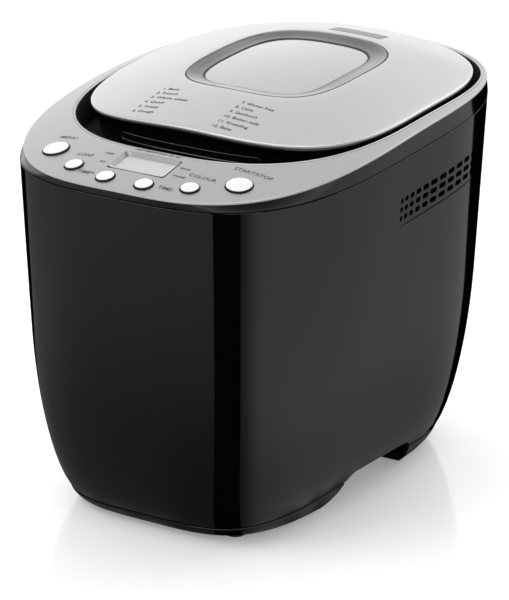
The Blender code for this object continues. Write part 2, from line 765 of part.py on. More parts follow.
def build_heater():
    loop = Outline(78.5 * MM, 97.5 * MM, 97.5 * MM, 4.5, 4.5, DRIVE_Y)
    points = ring(loop, HEATER_Z, 28)
    gap = HEATER_TERMINAL_X + 12 * MM
    points = [point for point in points if point[1] > -40 * MM or abs(point[0]) > gap]
    points.sort(key=lambda point: math.atan2(point[0], -(point[1] - DRIVE_Y)) % math.tau)
    x = HEATER_TERMINAL_X
    inner_y = DRIVE_Y - loop.front
    path = [(x, -0.092, HEATER_Z), (x, inner_y, HEATER_Z), *points,
            (-x, inner_y, HEATER_Z), (-x, -0.092, HEATER_Z)]
    add_wire("heating_element", path, HEATER_WIRE, galvanised_steel())


def add_wire(name, path, radius, surface, origin=(0.0, 0.0, 0.0), pivot=None):
    """A bent rod along a run of points, with closed ends."""
    curve = bpy.data.curves.new(name, "CURVE")
    curve.dimensions = "3D"
    curve.bevel_depth = radius
    curve.bevel_resolution = 0
    curve.use_fill_caps = True
    spline = curve.splines.new("POLY")
    spline.points.add(len(path) - 1)
    for point, place in zip(spline.points, path):
        point.co = (*(Vector(place) - Vector(origin)), 1.0)
    curve.materials.append(surface)
    obj = bpy.data.objects.new(name, curve)
    bpy.context.collection.objects.link(obj)
    obj.location = Vector(origin)
    if pivot:
        obj.parent = pivot
        obj.location -= pivot.location
    return obj


def build_sensor():
    profile = [(2.4 * MM, -0.0785), (3.0 * MM, -0.080), (3.0 * MM, -0.0882), (6.0 * MM, -0.0882),
               (6.0 * MM, -0.0905), (3.0 * MM, -0.0905), (3.0 * MM, -0.0985)]
    add("temperature_sensor", along_x(turned(profile, 12), DRIVE_Y, 0.100), galvanised_steel())


def ring_piece(name, inner, outer, low, high, sides, surface, pivot=None):
    """A plain round collar about the drive axis."""
    profile = [(inner, low), (outer, low), (outer, high), (inner, high)]
    seat = Matrix.Translation((0, DRIVE_Y, 0))
    origin = pivot.location if pivot else (0, DRIVE_Y, low)
    return add(name, moved_mesh(turned(profile, sides, bored=True), seat), surface, origin, pivot)


def build_pan(pivot):
    low, high = PAN_Z
    foot = grown(PAN, -PAN_DRAFT)
    corner = grown(foot, -5 * MM)
    wall_low = grown(foot, -PAN_WALL)
    rings = [ring(corner, low),
             ring(foot, low + 6 * MM),
             ring(PAN, high - 4 * MM),
             ring(grown(PAN, PAN_RIM), high - 3 * MM),
             ring(grown(PAN, PAN_RIM), high),
             ring(grown(PAN, -PAN_WALL), high),
             ring(wall_low, low + 6.5 * MM),
             ring(grown(corner, -PAN_WALL), low + PAN_FLOOR)]
    pan = add("bread_pan", loft(rings), coated_metal(), pivot.location, pivot)
    tools = [moved_mesh(turned([(7.6 * MM, 0.055), (7.6 * MM, 0.070)], 16),
                        Matrix.Translation((0, DRIVE_Y, 0)))]
    reach = PAN.front + 8 * MM
    pivot_bore = turned([(BAIL_WIRE + 0.5 * MM, -reach), (BAIL_WIRE + 0.5 * MM, reach)], 12)
    turn = Matrix.Rotation(math.radians(90), 4, "X")
    tools.append(moved_mesh(pivot_bore, Matrix.Translation((0, DRIVE_Y, BAIL_Z)) @ turn))
    apply_tool(pan, add_tool("pan_holes", joined(tools)))
    ring_piece("pan_base_ring", 43.5 * MM, 45.5 * MM, 49 * MM, 61.6 * MM, 20, aluminium(), pivot)
    profile = [(SHAFT_BORE, 61.2 * MM), (7.2 * MM, 61.2 * MM), (7.2 * MM, 64.4 * MM),
               (10.5 * MM, 64.4 * MM), (10.5 * MM, 66.4 * MM), (7.2 * MM, 70 * MM),
               (SHAFT_BORE, 70 * MM)]
    bush = moved_mesh(turned(profile, 16, bored=True), Matrix.Translation((0, DRIVE_Y, 0)))
    add("pan_bearing", bush, aluminium(), pivot.location, pivot)


def bail_path():
    """Half of the bail in its own plane as (reach, along), then mirrored."""
    corner = 15 * MM
    half = [(0.0, BAIL_END_Y), (0.0, BAIL_ARM_Y - 2 * MM), (1.5 * MM, BAIL_ARM_Y)]
    for step in range(5):
        angle = math.radians(90 * step / 4)
        half.append((BAIL_REACH - corner + corner * math.sin(angle),
                     BAIL_ARM_Y - corner + corner * math.cos(angle)))
    return half + [(reach, -along) for reach, along in reversed(half)]


def build_bail(pivot):
    lean = (math.cos(BAIL_REST_ANGLE), math.sin(BAIL_REST_ANGLE))
    path = [(reach * lean[0], DRIVE_Y + along, BAIL_Z + reach * lean[1])
            for reach, along in bail_path()]
    add_wire("pan_handle", path, BAIL_WIRE, galvanised_steel(), pivot.location, pivot)


def build_paddle(pivot):
    seat = Matrix.Translation((0, DRIVE_Y, 0))
    profile = [(SHAFT_BORE, 71.5 * MM), (9 * MM, 71.5 * MM), (8 * MM, 95 * MM),
               (SHAFT_BORE, 95 * MM)]
    paddle = add("kneading_paddle", moved_mesh(turned(profile, 16, bored=True), seat),
                 coated_metal(), pivot.location, pivot)
    blade = [(6.0, 73.5), (30, 73.5), (47, 76.0), (48, 80.0), (45, 92), (38, 104), (30, 108),
             (20, 107), (10, 98), (6.0, 92)]
    outline = [(x * MM, z * MM) for x, z in blade]
    flat = prism(outline, "X", -2 * MM, 2 * MM)
    turn = Matrix.Rotation(math.radians(-90), 4, "Z")
    blade_tool = add_tool("paddle_blade", moved_mesh(flat, seat @ turn))
    apply_tool(paddle, blade_tool, "UNION")
    profile = [(SHAFT_RADIUS, 58.5 * MM), (SHAFT_RADIUS, 96 * MM), (2.5 * MM, 97.5 * MM)]
    shaft = add("pan_shaft", moved_mesh(turned(profile, 16), seat), galvanised_steel(),
                pivot.location, pivot)
    wing = block((-3 * MM, DRIVE_Y - 10 * MM, 57.6 * MM), (3 * MM, DRIVE_Y + 10 * MM, 60.8 * MM))
    apply_tool(shaft, add_tool("shaft_wing", wing), "UNION")


# ---------------------------------------------------------------- drive train

def build_chassis(screw_holes):
    outline = grown(tub_outline(CHASSIS_Z[0]), -WALL - 1.2 * MM)
    rings = [ring(outline, z, TUB_POINTS) for z in CHASSIS_Z]
    plate = add("chassis_plate", loft(rings), galvanised_steel())
    holes = [moved_mesh(turned([(8 * MM, 0.025), (8 * MM, 0.040)], 16),
                        Matrix.Translation((0, y, 0))) for y in (DRIVE_Y, MOTOR_Y)]
    apply_tool(plate, add_tool("chassis_holes", joined(holes)))
    apply_tool(plate, screw_holes)
    for name, (x, y) in STANDOFF_PLACES.items():
        post = turned([(4 * MM, CHASSIS_Z[1] + 0.3 * MM), (4 * MM, CHAMBER_FLOOR_Z - SHEET - GAP)], 10)
        add("chamber_standoff_" + name, moved_mesh(post, Matrix.Translation((x, y, 0))),
            galvanised_steel())


def build_drive_bearing():
    low = CHASSIS_Z[1] + 0.4 * MM
    profile = [(SHAFT_BORE, low), (18 * MM, low), (18 * MM, low + 4 * MM), (7.8 * MM, low + 7 * MM),
               (7.8 * MM, 53 * MM), (SHAFT_BORE, 53 * MM)]
    bush = moved_mesh(turned(profile, 20, bored=True), Matrix.Translation((0, DRIVE_Y, 0)))
    add("drive_bearing", bush, aluminium(), (0, DRIVE_Y, low))


def build_drive(pivot):
    seat = Matrix.Translation((0, DRIVE_Y, 0))
    shaft = turned([(SHAFT_RADIUS, 9.5 * MM), (SHAFT_RADIUS, 57 * MM)], 16)
    add("drive_shaft", moved_mesh(shaft, seat), galvanised_steel(), pivot.location, pivot)
    coupler = ring_piece("drive_coupler", SHAFT_BORE, 13 * MM, 53.6 * MM, 56.6 * MM, 20,
                         aluminium(), pivot)
    lugs = [block((min(side * 7.5, side * 11.5) * MM, DRIVE_Y - 3.5 * MM, 55 * MM),
                  (max(side * 7.5, side * 11.5) * MM, DRIVE_Y + 3.5 * MM, 61.2 * MM))
            for side in (-1, 1)]
    apply_tool(coupler, add_tool("coupler_lugs", joined(lugs)), "UNION")
    low, high = PULLEY_Z
    radius = LARGE_PULLEY_RADIUS
    web = (low + high) / 2
    profile = [(SHAFT_BORE, low - 1.5 * MM), (10 * MM, low - 1.5 * MM), (10 * MM, web - 1.5 * MM),
               (radius - 6 * MM, web - 1.5 * MM), (radius - 6 * MM, low), (radius, low),
               (radius, high), (radius - 6 * MM, high), (radius - 6 * MM, web + 1.5 * MM),
               (10 * MM, web + 1.5 * MM), (10 * MM, high + 2 * MM), (SHAFT_BORE, high + 2 * MM)]
    pulley = moved_mesh(turned(profile, 18, bored=True), seat)
    add("large_pulley", pulley, nylon(), pivot.location, pivot)


def build_rotor(pivot):
    seat = Matrix.Translation((0, MOTOR_Y, 0))
    shaft = turned([(3 * MM, 10.5 * MM), (3 * MM, 44 * MM)], 12)
    add("motor_shaft", moved_mesh(shaft, seat), galvanised_steel(), pivot.location, pivot)
    low, high = PULLEY_Z
    radius = SMALL_PULLEY_RADIUS
    profile = [(3.4 * MM, low - 1.5 * MM), (radius + 2 * MM, low - 1.5 * MM),
               (radius + 2 * MM, low), (radius, low), (radius, high), (radius + 2 * MM, high),
               (radius + 2 * MM, high + 1.5 * MM), (3.4 * MM, high + 1.5 * MM)]
    pulley = moved_mesh(turned(profile, 16, bored=True), seat)
    add("small_pulley", pulley, aluminium(), pivot.location, pivot)


def belt_ring(extra, z):
    """The belt's line round both pulleys, at a distance off their rims."""
    large = LARGE_PULLEY_RADIUS + extra
    small = SMALL_PULLEY_RADIUS + extra
    lean = math.asin((large - small) / (DRIVE_Y - MOTOR_Y))
    points = []
    for radius, y, start, sweep, steps in (
            (large, DRIVE_Y, -lean, math.pi + 2 * lean, 22),
            (small, MOTOR_Y, math.pi + lean, math.pi - 2 * lean, 8)):
        for step in range(steps + 1):
            angle = start + sweep * step / steps
            points.append((radius * math.cos(angle), y + radius * math.sin(angle), z))
    return points


def build_belt():
    low, high = PULLEY_Z[0] + 0.8 * MM, PULLEY_Z[1] - 0.8 * MM
    inner, outer = 0.5 * MM, 0.5 * MM + BELT_THICKNESS
    rings = [belt_ring(outer, high), belt_ring(outer, low), belt_ring(inner, low),
             belt_ring(inner, high)]
    add("drive_belt", loft(rings, closed_run=True), rubber())


def build_motor():
    low = CHASSIS_Z[1] + 0.4 * MM
    profile = [(3.6 * MM, 46 * MM), (3.6 * MM, low), (28 * MM, low), (30 * MM, low + 2 * MM),
               (30 * MM, 84 * MM), (28 * MM, 86 * MM), (10 * MM, 86 * MM), (10 * MM, 91 * MM)]
    can = moved_mesh(turned(profile, 14), Matrix.Translation((0, MOTOR_Y, 0)))
    add("motor", can, galvanised_steel(), (0, MOTOR_Y, low))


def build_power_board():
    board = block((40 * MM, -101 * MM, 33 * MM), (86 * MM, -99.4 * MM, 100 * MM))
    add("power_board", board, circuit_green())


# ---------------------------------------------------------------- whole machine

def main():
    clear_scene()
    arch = arch_cutter("hand_arches", 0.0)
    build_tub(arch)
    screw_holes = build_plinth(arch)
    build_feet()
    build_screws()
    build_gland()
    openings = panel_cutter()
    build_deck(openings)
    build_band(openings)
    build_buttons()
    build_display()
    build_control_board()
    build_lid(add_pivot("lid_hinge_axis", (0.0, HINGE_Y, HINGE_Z)))
    build_chamber()
    build_heater()
    build_sensor()
    ring_piece("pan_socket", 47.5 * MM, 49.5 * MM, 48.4 * MM, 55.5 * MM, 20, aluminium())
    build_pan(add_pivot("pan_lift_axis", (0.0, DRIVE_Y, PAN_Z[0])))
    build_bail(add_pivot("bail_axis", (0.0, DRIVE_Y, BAIL_Z)))
    build_paddle(add_pivot("paddle_axis", (0.0, DRIVE_Y, 71.5 * MM)))
    build_chassis(screw_holes)
    build_drive_bearing()
    build_drive(add_pivot("drive_axis", (0.0, DRIVE_Y, PULLEY_Z[0])))
    build_rotor(add_pivot("rotor_axis", (0.0, MOTOR_Y, PULLEY_Z[0])))
    build_belt()
    build_motor()
    build_power_board()


main()
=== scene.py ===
"""Surfaces, finishes and studio for a countertop bread machine.

World frame in metres: +Z up with the floor at zero, +X to the right of someone who faces
the control panel, and the panel towards -Y.  Each piece is grown ring by ring along plan
outlines, with heights that follow the domed deck and lid.
"""

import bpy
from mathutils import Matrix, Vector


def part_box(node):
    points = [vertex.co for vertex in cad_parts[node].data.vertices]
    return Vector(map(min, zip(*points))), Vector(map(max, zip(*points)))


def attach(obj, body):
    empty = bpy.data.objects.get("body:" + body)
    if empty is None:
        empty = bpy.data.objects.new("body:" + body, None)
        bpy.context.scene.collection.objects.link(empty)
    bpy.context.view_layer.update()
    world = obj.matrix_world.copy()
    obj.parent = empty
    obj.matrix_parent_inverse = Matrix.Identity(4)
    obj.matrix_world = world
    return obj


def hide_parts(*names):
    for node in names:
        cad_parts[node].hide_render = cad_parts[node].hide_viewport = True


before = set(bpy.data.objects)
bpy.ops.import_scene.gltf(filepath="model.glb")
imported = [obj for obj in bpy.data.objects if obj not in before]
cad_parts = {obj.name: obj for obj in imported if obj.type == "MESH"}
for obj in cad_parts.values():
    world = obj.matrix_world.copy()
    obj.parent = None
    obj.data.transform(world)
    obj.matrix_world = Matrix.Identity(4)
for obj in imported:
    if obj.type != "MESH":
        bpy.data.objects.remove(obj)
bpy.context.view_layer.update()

import math
from collections import namedtuple

import bmesh
import bpy
from bpy.props import FloatProperty, FloatVectorProperty, IntProperty, PointerProperty
from mathutils import Matrix, Vector

bl_info = {
    "name": "Bread Machine",
    "version": (1, 0, 0),
    "blender": (4, 5, 0),
    "location": "3D View > Sidebar > Bread Machine",
    "description": "Models a countertop bread machine around its solid model",
    "category": "Add Mesh",
}

MM = 0.001
WELD = 0.000002
SHARP_ANGLE = math.radians(35)
ROUND_POINTS = 208
INNER_POINTS = 96
WORD_LIFT = 0.05 * MM
WORD_DEPTH = 0.03 * MM
WORD_WEIGHT = 0.007
ROOT = "root"
LID = "lid"

# Plan shapes: half width, reach to front and rear, squareness front and rear, centre line.
Outline = namedtuple("Outline", "half_width front rear front_power rear_power centre_y")

# The facets of the solid model lie a little inside the true curves, so the curves shrink to it.
DECK_HALF_WIDTH = 0.1278
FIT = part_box("deck_panel")[1].x / DECK_HALF_WIDTH


def fitted(half_width, front, rear, front_power, rear_power, centre_y):
    return Outline(half_width * FIT, front * FIT, rear * FIT, front_power, rear_power, centre_y)


DECK_EDGE = fitted(DECK_HALF_WIDTH, 0.1749, 0.1750, 2.80, 2.86, 0.0)
SEAM_EDGE = fitted(0.1249, 0.1729, 0.1729, 3.26, 3.12, 0.001)
OPENING_EDGE = fitted(0.1179, 0.1348, 0.1521, 2.54, 3.25, 0.0135)
LID_EDGE = fitted(0.1149, 0.1231, 0.1255, 2.96, 3.15, 0.0281)
WINDOW_EDGE = fitted(0.0586, 0.0696, 0.0696, 3.17, 3.17, 0.0357)
GLASS_EDGE = fitted(0.0460, 0.0563, 0.0563, 3.70, 3.70, 0.0349)
CHAMBER_EDGE = Outline(0.0880, 0.1070, 0.1070, 5.00, 5.00, 0.030)
PAN_EDGE = Outline(0.0660, 0.0860, 0.0860, 4.00, 4.00, 0.030)

# Heights of the deck's crown, the lid's crown and the seam under the deck.
DECK_Z = 0.277
LID_CROWN_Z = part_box("lid_top_plate")[1].z - 3.45 * MM
SEAM_Z = 0.2506
SEAM_SLOPE = 0.0587
BASE_Z = 2.5 * MM
BASE_POWER = 3.76
TUB_TAPER = (0.067, 0.063)
UNDER_ROUND = (24.8 * MM, 23.3 * MM)
UNDER_ROUND_HEIGHT = 0.1257
UPPER_DEPTH = 56 * MM

BAND_DROP = 1.55 * MM
BAND_THICK = 3.8 * MM
TROUGH_Z = 0.2435
PLINTH_LOW_Z = 1.8 * MM
PLINTH_SEAM_Z = 10.5 * MM
PLINTH_COLLAR_Z = 29.2 * MM

DRIVE_Y = 0.030
PIVOT_Z = 0.180
HINGE = Vector((0.0, 0.1622, 0.2685))
HINGE_NOTCH_Y = (0.1400, 0.1692)
HINGE_NOTCH_HALF = 37.5 * MM
HINGE_POCKET_HALF = 42 * MM
KNUCKLE_HALF = 31.5 * MM
ARCH_Y = (-0.043, 0.058)
ARCH_INNER_X = 54 * MM
VENT_START_Y = -15 * MM

BUTTON_PLACES = {
    "button_menu": (-72.1 * MM, -136.3 * MM),
    "button_loaf_size": (-45.5 * MM, -153.6 * MM),
    "button_time_plus": (-15.1 * MM, -161.5 * MM),
    "button_time_minus": (15.1 * MM, -161.5 * MM),
    "button_crust_colour": (45.5 * MM, -153.6 * MM),
    "button_start_stop": (72.1 * MM, -136.3 * MM),
}
LARGE_BUTTONS = ("button_menu", "button_start_stop")
DISPLAY_PLACE = (0.0, -138.4 * MM)
NUB_TURN = math.radians(38)
GRILLE_PLACE = (7 * MM, 113 * MM)

# Printed words: where each is centred, in millimetres, and its size beside a button name's.
PANEL_WORDS = (
    ("MENU", -74.0, -118.9, 1.0), ("LOAF", -46.4, -139.0, 1.0), ("TIME+", -31.6, -159.6, 1.0),
    ("TIME-", 31.4, -160.0, 1.0), ("COLOUR", 45.6, -138.6, 1.0),
    ("START/STOP", 71.8, -118.6, 1.04), ("KEEP", -31.0, -133.3, 0.62),
    ("KG", -29.2, -144.2, 0.62), ("BAKE", 29.2, -134.0, 0.62), ("WARM", 30.6, -144.0, 0.62),
    ("LIGHT MEDIUM DARK  750  900", 0.2, -122.9, 0.5),
)
PROGRAMMES = ("Basic", "French", "Whole wheat", "Quick", "Sweet", "Dough", "Gluten free", "Cake",
              "Sandwich", "Butter milk", "Kneading", "Bake")


# ---------------------------------------------------------------- sizes and colours

class TubSizes(bpy.types.PropertyGroup):
    wall: FloatProperty(name="Wall", description="Thickness of the tub's wall",
                        default=2.5 * MM, min=1 * MM, unit="LENGTH")
    seam_gap: FloatProperty(name="Seam", description="Gap between the tub and its neighbours",
                            default=0.8 * MM, min=0.2 * MM, unit="LENGTH")
    groove_depth: FloatProperty(name="Groove", description="Depth of the line under the vents",
                                default=1.6 * MM, min=0.0, unit="LENGTH")
    vent_columns: IntProperty(name="Vent columns", description="Ventilation slots in a row",
                              default=13, min=1, max=20)
    vent_height: FloatProperty(name="Vent height", description="Height of one slot",
                               default=3.8 * MM, min=1 * MM, unit="LENGTH")
    arch_height: FloatProperty(name="Arch height", description="Height of the hand arches",
                               default=23.2 * MM, min=10 * MM, unit="LENGTH")


class PanelSizes(bpy.types.PropertyGroup):
    large_button: FloatProperty(name="Large button", description="Radius of the end buttons",
                                default=8.9 * MM, min=4 * MM, unit="LENGTH")
    small_button: FloatProperty(name="Small button", description="Radius of the four others",
                                default=6.3 * MM, min=3 * MM, unit="LENGTH")
    well_gap: FloatProperty(name="Well gap", description="Gap round each button",
                            default=0.75 * MM, min=0.2 * MM, unit="LENGTH")
    display_half: FloatVectorProperty(name="Display", description="Half width and half height",
                                      size=2, default=(22.4 * MM, 12.0 * MM), unit="LENGTH")
    word_size: FloatProperty(name="Word size", description="Height of the button names",
                             default=5.0 * MM, min=1 * MM, unit="LENGTH")
    list_size: FloatProperty(name="List size", description="Height of the programme list",
                             default=4.6 * MM, min=1 * MM, unit="LENGTH")


class LidSizes(bpy.types.PropertyGroup):
    skin: FloatProperty(name="Skin", description="Thickness of the lid's top plate",
                        default=2.2 * MM, min=1 * MM, unit="LENGTH")
    bezel_drop: FloatProperty(name="Bezel drop", description="Depth of the glass below the lid",
                              default=3.0 * MM, min=0.5 * MM, unit="LENGTH")
    glass: FloatProperty(name="Glass", description="Thickness of each pane",
                         default=2.5 * MM, min=1 * MM, unit="LENGTH")
    bead: FloatProperty(name="Bead", description="Radius of the bead on the lid's front wall",
                        default=0.38 * MM, min=0.1 * MM, unit="LENGTH")


class Finishes(bpy.types.PropertyGroup):
    black: FloatVectorProperty(name="Gloss black", description="Colour of the tub",
                               subtype="COLOR", size=3, default=(0.0012, 0.0012, 0.0013))
    silver: FloatVectorProperty(name="Silver paint", description="Colour of deck and lid",
                                subtype="COLOR", size=3, default=(0.52, 0.52, 0.525))
    deck: FloatVectorProperty(name="Deck paint", description="Colour of the deck",
                              subtype="COLOR", size=3, default=(0.43, 0.43, 0.435))
    bezel: FloatVectorProperty(name="Bezel", description="Colour of the window's surround",
                               subtype="COLOR", size=3, default=(0.088, 0.088, 0.09))
    glass: FloatVectorProperty(name="Window glass", description="Tint of the window",
                               subtype="COLOR", size=3, default=(0.52, 0.53, 0.53))
    cap: FloatVectorProperty(name="Button caps", description="Colour of the button caps",
                             subtype="COLOR", size=3, default=(0.80, 0.80, 0.805))
    ink: FloatVectorProperty(name="Ink", description="Colour of printed words",
                             subtype="COLOR", size=3, default=(0.02, 0.02, 0.021))
    floor: FloatVectorProperty(name="Floor", description="Colour of the studio floor",
                               subtype="COLOR", size=3, default=(0.92, 0.92, 0.92))


# ---------------------------------------------------------------- surfaces and outlines

def deck_height(x, y):
    return DECK_Z + 0.080 * y - 0.66 * x * x - 0.52 * y * y


def lid_height(x, y):
    rear_fall = 3.2 * MM * smooth(y, 0.108, 0.165)
    return LID_CROWN_Z + 0.102 * y - 1.2 * x * x - 0.656 * y * y - rear_fall


def seam_height(x, y):
    return SEAM_Z + SEAM_SLOPE * y


def below(surface, drop):
    return lambda x, y: surface(x, y) - drop


def grown(outline, by):
    return outline._replace(half_width=outline.half_width + by, front=outline.front + by,
                            rear=outline.rear + by)


def stepped(outline, surface, *steps):
    """Rings in or out from an outline and down from a surface, by millimetres."""
    return [(grown(outline, out * MM), below(surface, drop * MM)) for out, drop in steps]


def stacked(outline, *steps):
    """Flat rings in or out from an outline, each at its height, in millimetres."""
    return [(grown(outline, out * MM), z * MM) for out, z in steps]


def mixed(first, second, share):
    return Outline(*(a + (b - a) * share for a, b in zip(first, second)))


def smooth(value, start, end):
    share = min(max((value - start) / (end - start), 0.0), 1.0)
    return share * share * (3.0 - 2.0 * share)


def outline_point(outline, turn):
    across, along = math.cos(turn), math.sin(turn)
    reach = outline.rear if along > 0 else outline.front
    power = 2.0 / (outline.rear_power if along > 0 else outline.front_power)
    x = math.copysign(outline.half_width * abs(across) ** power, across)
    y = outline.centre_y + math.copysign(reach * abs(along) ** power, along)
    return x, y


def tub_outline(z):
    depth = SEAM_Z - z
    turn = min(max((BASE_Z + UNDER_ROUND_HEIGHT - z) / UNDER_ROUND_HEIGHT, 0.0), 1.0)
    arc = 1.0 - math.sqrt(1.0 - turn * turn)
    share = depth / (SEAM_Z - BASE_Z)
    return Outline(
        SEAM_EDGE.half_width - TUB_TAPER[0] * depth - UNDER_ROUND[0] * arc,
        SEAM_EDGE.front - TUB_TAPER[1] * depth - UNDER_ROUND[1] * arc,
        SEAM_EDGE.rear - TUB_TAPER[1] * depth - UNDER_ROUND[1] * arc,
        SEAM_EDGE.front_power + (BASE_POWER - SEAM_EDGE.front_power) * share,
        SEAM_EDGE.rear_power + (BASE_POWER - SEAM_EDGE.rear_power) * share,
        SEAM_EDGE.centre_y)


def plinth_seam(x, y):
    """The joint between plinth and tub climbs towards the hand arches."""
    side = smooth(abs(x), 0.050, 0.085)
    climb = min(max((abs(y) - 0.046) / 0.094, 0.0), 1.0)
    return PLINTH_SEAM_Z + 6.7 * MM * (1.0 - climb) * side


def deck_seat(x, y):
    """Axes at a place on the deck, with Z along its outward normal."""
    slope_x = (deck_height(x + MM, y) - deck_height(x - MM, y)) / (2 * MM)
    slope_y = (deck_height(x, y + MM) - deck_height(x, y - MM)) / (2 * MM)
    normal = Vector((-slope_x, -slope_y, 1.0)).normalized()
    across = Vector((1.0, 0.0, slope_x)).normalized()
    turn = Matrix((across, normal.cross(across), normal)).transposed().to_4x4()
    return Matrix.Translation((x, y, deck_height(x, y))) @ turn


# ---------------------------------------------------------------- mesh tools

def seat_ring(mesh, verts, outline, height, inset=None):
    """Put a ring of corners on an outline; an inset may draw it in place by place."""
    turn = mesh.verts.layers.float["turn"]
    inner = grown(outline, -MM)
    for vert in verts:
        x, y = outline_point(outline, vert[turn])
        if inset:
            inner_x, inner_y = outline_point(inner, vert[turn])
            share = inset(x, y) / MM
            x, y = x + (inner_x - x) * share, y + (inner_y - y) * share
        vert.co = (x, y, height(x, y) if callable(height) else height)


def ring_edges(verts):
    held = set(verts)
    return list({edge for vert in verts for edge in vert.link_edges
                 if edge.other_vert(vert) in held})


def extruded(mesh, verts):
    made = bmesh.ops.extrude_edge_only(mesh, edges=ring_edges(verts))["geom"]
    return [item for item in made if isinstance(item, bmesh.types.BMVert)]


def faced_outwards(mesh):
    bmesh.ops.remove_doubles(mesh, verts=mesh.verts, dist=WELD)
    bmesh.ops.recalc_face_normals(mesh, faces=mesh.faces)
    if mesh.calc_volume(signed=True) < 0:
        bmesh.ops.reverse_faces(mesh, faces=mesh.faces)
    return mesh


def skin(rings, points=ROUND_POINTS, closed=False):
    """Grow a skin from ring to ring; a closed run returns to its first ring, others are capped."""
    mesh = bmesh.new()
    turn = mesh.verts.layers.float.new("turn")
    verts = bmesh.ops.create_circle(mesh, cap_ends=False, segments=points, radius=1.0)["verts"]
    for vert in verts:
        vert[turn] = math.atan2(vert.co.y, vert.co.x)
    seat_ring(mesh, verts, *rings[0])
    first = verts
    for ring in rings[1:] + (rings[:1] if closed else []):
        verts = extruded(mesh, verts)
        seat_ring(mesh, verts, *ring)
    if not closed:
        bmesh.ops.edgeloop_fill(mesh, edges=ring_edges(first))
        bmesh.ops.edgeloop_fill(mesh, edges=ring_edges(verts))
    return faced_outwards(mesh)


def pane(outline, top, thickness):
    """A sheet that follows a surface, with softened edges."""
    edge, shares = 0.4 * MM, (0.12, 0.35, 0.6, 0.85)
    middle = outline._replace(half_width=0.0, front=0.0, rear=0.0)
    inner = grown(outline, -edge)
    upper = [(mixed(middle, inner, share), top) for share in shares] + [(inner, top)]
    lower = [(ring[0], below(top, thickness)) for ring in reversed(upper)]
    rim = [(outline, below(top, edge)), (outline, below(top, thickness - edge))]
    return skin(upper + rim + lower, INNER_POINTS)


def turned(profile, steps=40, closed=False):
    """A round piece about Z, spun from (radius, height) pairs in millimetres."""
    mesh = bmesh.new()
    verts = [mesh.verts.new((radius * MM, 0.0, z * MM)) for radius, z in profile]
    pairs = list(zip(verts, verts[1:])) + ([(verts[-1], verts[0])] if closed else [])
    edges = [mesh.edges.new(pair) for pair in pairs]
    bmesh.ops.spin(mesh, geom=verts + edges, cent=(0, 0, 0), axis=(0, 0, 1),
                   angle=math.tau, steps=steps, use_merge=True, use_duplicate=False)
    return faced_outwards(mesh)


def plug(radius, low, high, steps=40):
    """A round cutter about Z, in millimetres."""
    return turned([(0, low), (radius, low), (radius, high), (0, high)], steps)


def swept(path, radius, sides=12, closed=False):
    """A round bar along a run of points; a closed one comes back to its start."""
    points = [Vector(point) for point in path]
    count = len(points)
    if closed:
        points = points + points[:1]
    tangents = []
    for index in range(len(points)):
        before = points[(index - 1) % count] if closed else points[max(index - 1, 0)]
        after = points[(index + 1) % count] if closed else points[min(index + 1, count - 1)]
        tangents.append((after - before).normalized())
    mesh = bmesh.new()
    verts = bmesh.ops.create_circle(mesh, cap_ends=False, segments=sides, radius=radius)["verts"]
    first = verts
    turn = Vector((0, 0, 1)).rotation_difference(tangents[0]).to_matrix().to_4x4()
    seat = Matrix.Translation(points[0]) @ turn
    bmesh.ops.transform(mesh, verts=verts, matrix=seat)
    for index in range(1, len(points)):
        change = tangents[index - 1].rotation_difference(tangents[index]).to_matrix().to_4x4()
        turn = change @ turn
        following = Matrix.Translation(points[index]) @ turn
        verts = extruded(mesh, verts)
        bmesh.ops.transform(mesh, verts=verts, matrix=following @ seat.inverted())
        seat = following
    if not closed:
        bmesh.ops.edgeloop_fill(mesh, edges=ring_edges(first))
        bmesh.ops.edgeloop_fill(mesh, edges=ring_edges(verts))
    return faced_outwards(mesh)


def block(low, high):
    """A box between two corners."""
    mesh = bmesh.new()
    bmesh.ops.create_cube(mesh, size=1.0)
    bmesh.ops.scale(mesh, verts=mesh.verts, vec=[b - a for a, b in zip(low, high)])
    bmesh.ops.translate(mesh, verts=mesh.verts, vec=[(a + b) / 2 for a, b in zip(low, high)])
    return mesh


def soften(mesh, edges, width, segments):
    bmesh.ops.bevel(mesh, geom=edges, offset=width, offset_type="OFFSET", segments=segments,
                    profile=0.5, affect="EDGES", material=-1)
    return mesh


def prism(points, start, end):
    """A flat outline of (y, z) points pushed along X."""
    mesh = bmesh.new()
    face = mesh.faces.new([mesh.verts.new((start, y, z)) for y, z in points])
    pushed = bmesh.ops.extrude_face_region(mesh, geom=[face])["geom"]
    verts = [item for item in pushed if isinstance(item, bmesh.types.BMVert)]
    bmesh.ops.translate(mesh, verts=verts, vec=(end - start, 0, 0))
    return faced_outwards(mesh)


def slot_bar(half_long, half_wide, half_deep):
    """An upright slot cutter with round ends: long along X, deep along Z."""
    mesh = bmesh.new()
    bmesh.ops.create_cube(mesh, size=2.0)
    bmesh.ops.scale(mesh, verts=mesh.verts, vec=(half_long, half_wide, half_deep))
    upright = [edge for edge in mesh.edges
               if abs(edge.verts[0].co.x - edge.verts[1].co.x) < WELD
               and abs(edge.verts[0].co.y - edge.verts[1].co.y) < WELD]
    return soften(mesh, upright, min(half_long, half_wide) * 0.96, 5)


def placed(mesh, matrix):
    bmesh.ops.transform(mesh, verts=mesh.verts, matrix=matrix)
    return mesh


def joined(meshes):
    whole = bmesh.new()
    for mesh in meshes:
        step = bpy.data.meshes.new("step")
        mesh.to_mesh(step)
        mesh.free()
        whole.from_mesh(step)
        bpy.data.meshes.remove(step)
    return whole


def loose_object(name, mesh):
    data = bpy.data.meshes.new(name)
    mesh.to_mesh(data)
    mesh.free()
    obj = bpy.data.objects.new(name, data)
    bpy.context.scene.collection.objects.link(obj)
    return obj


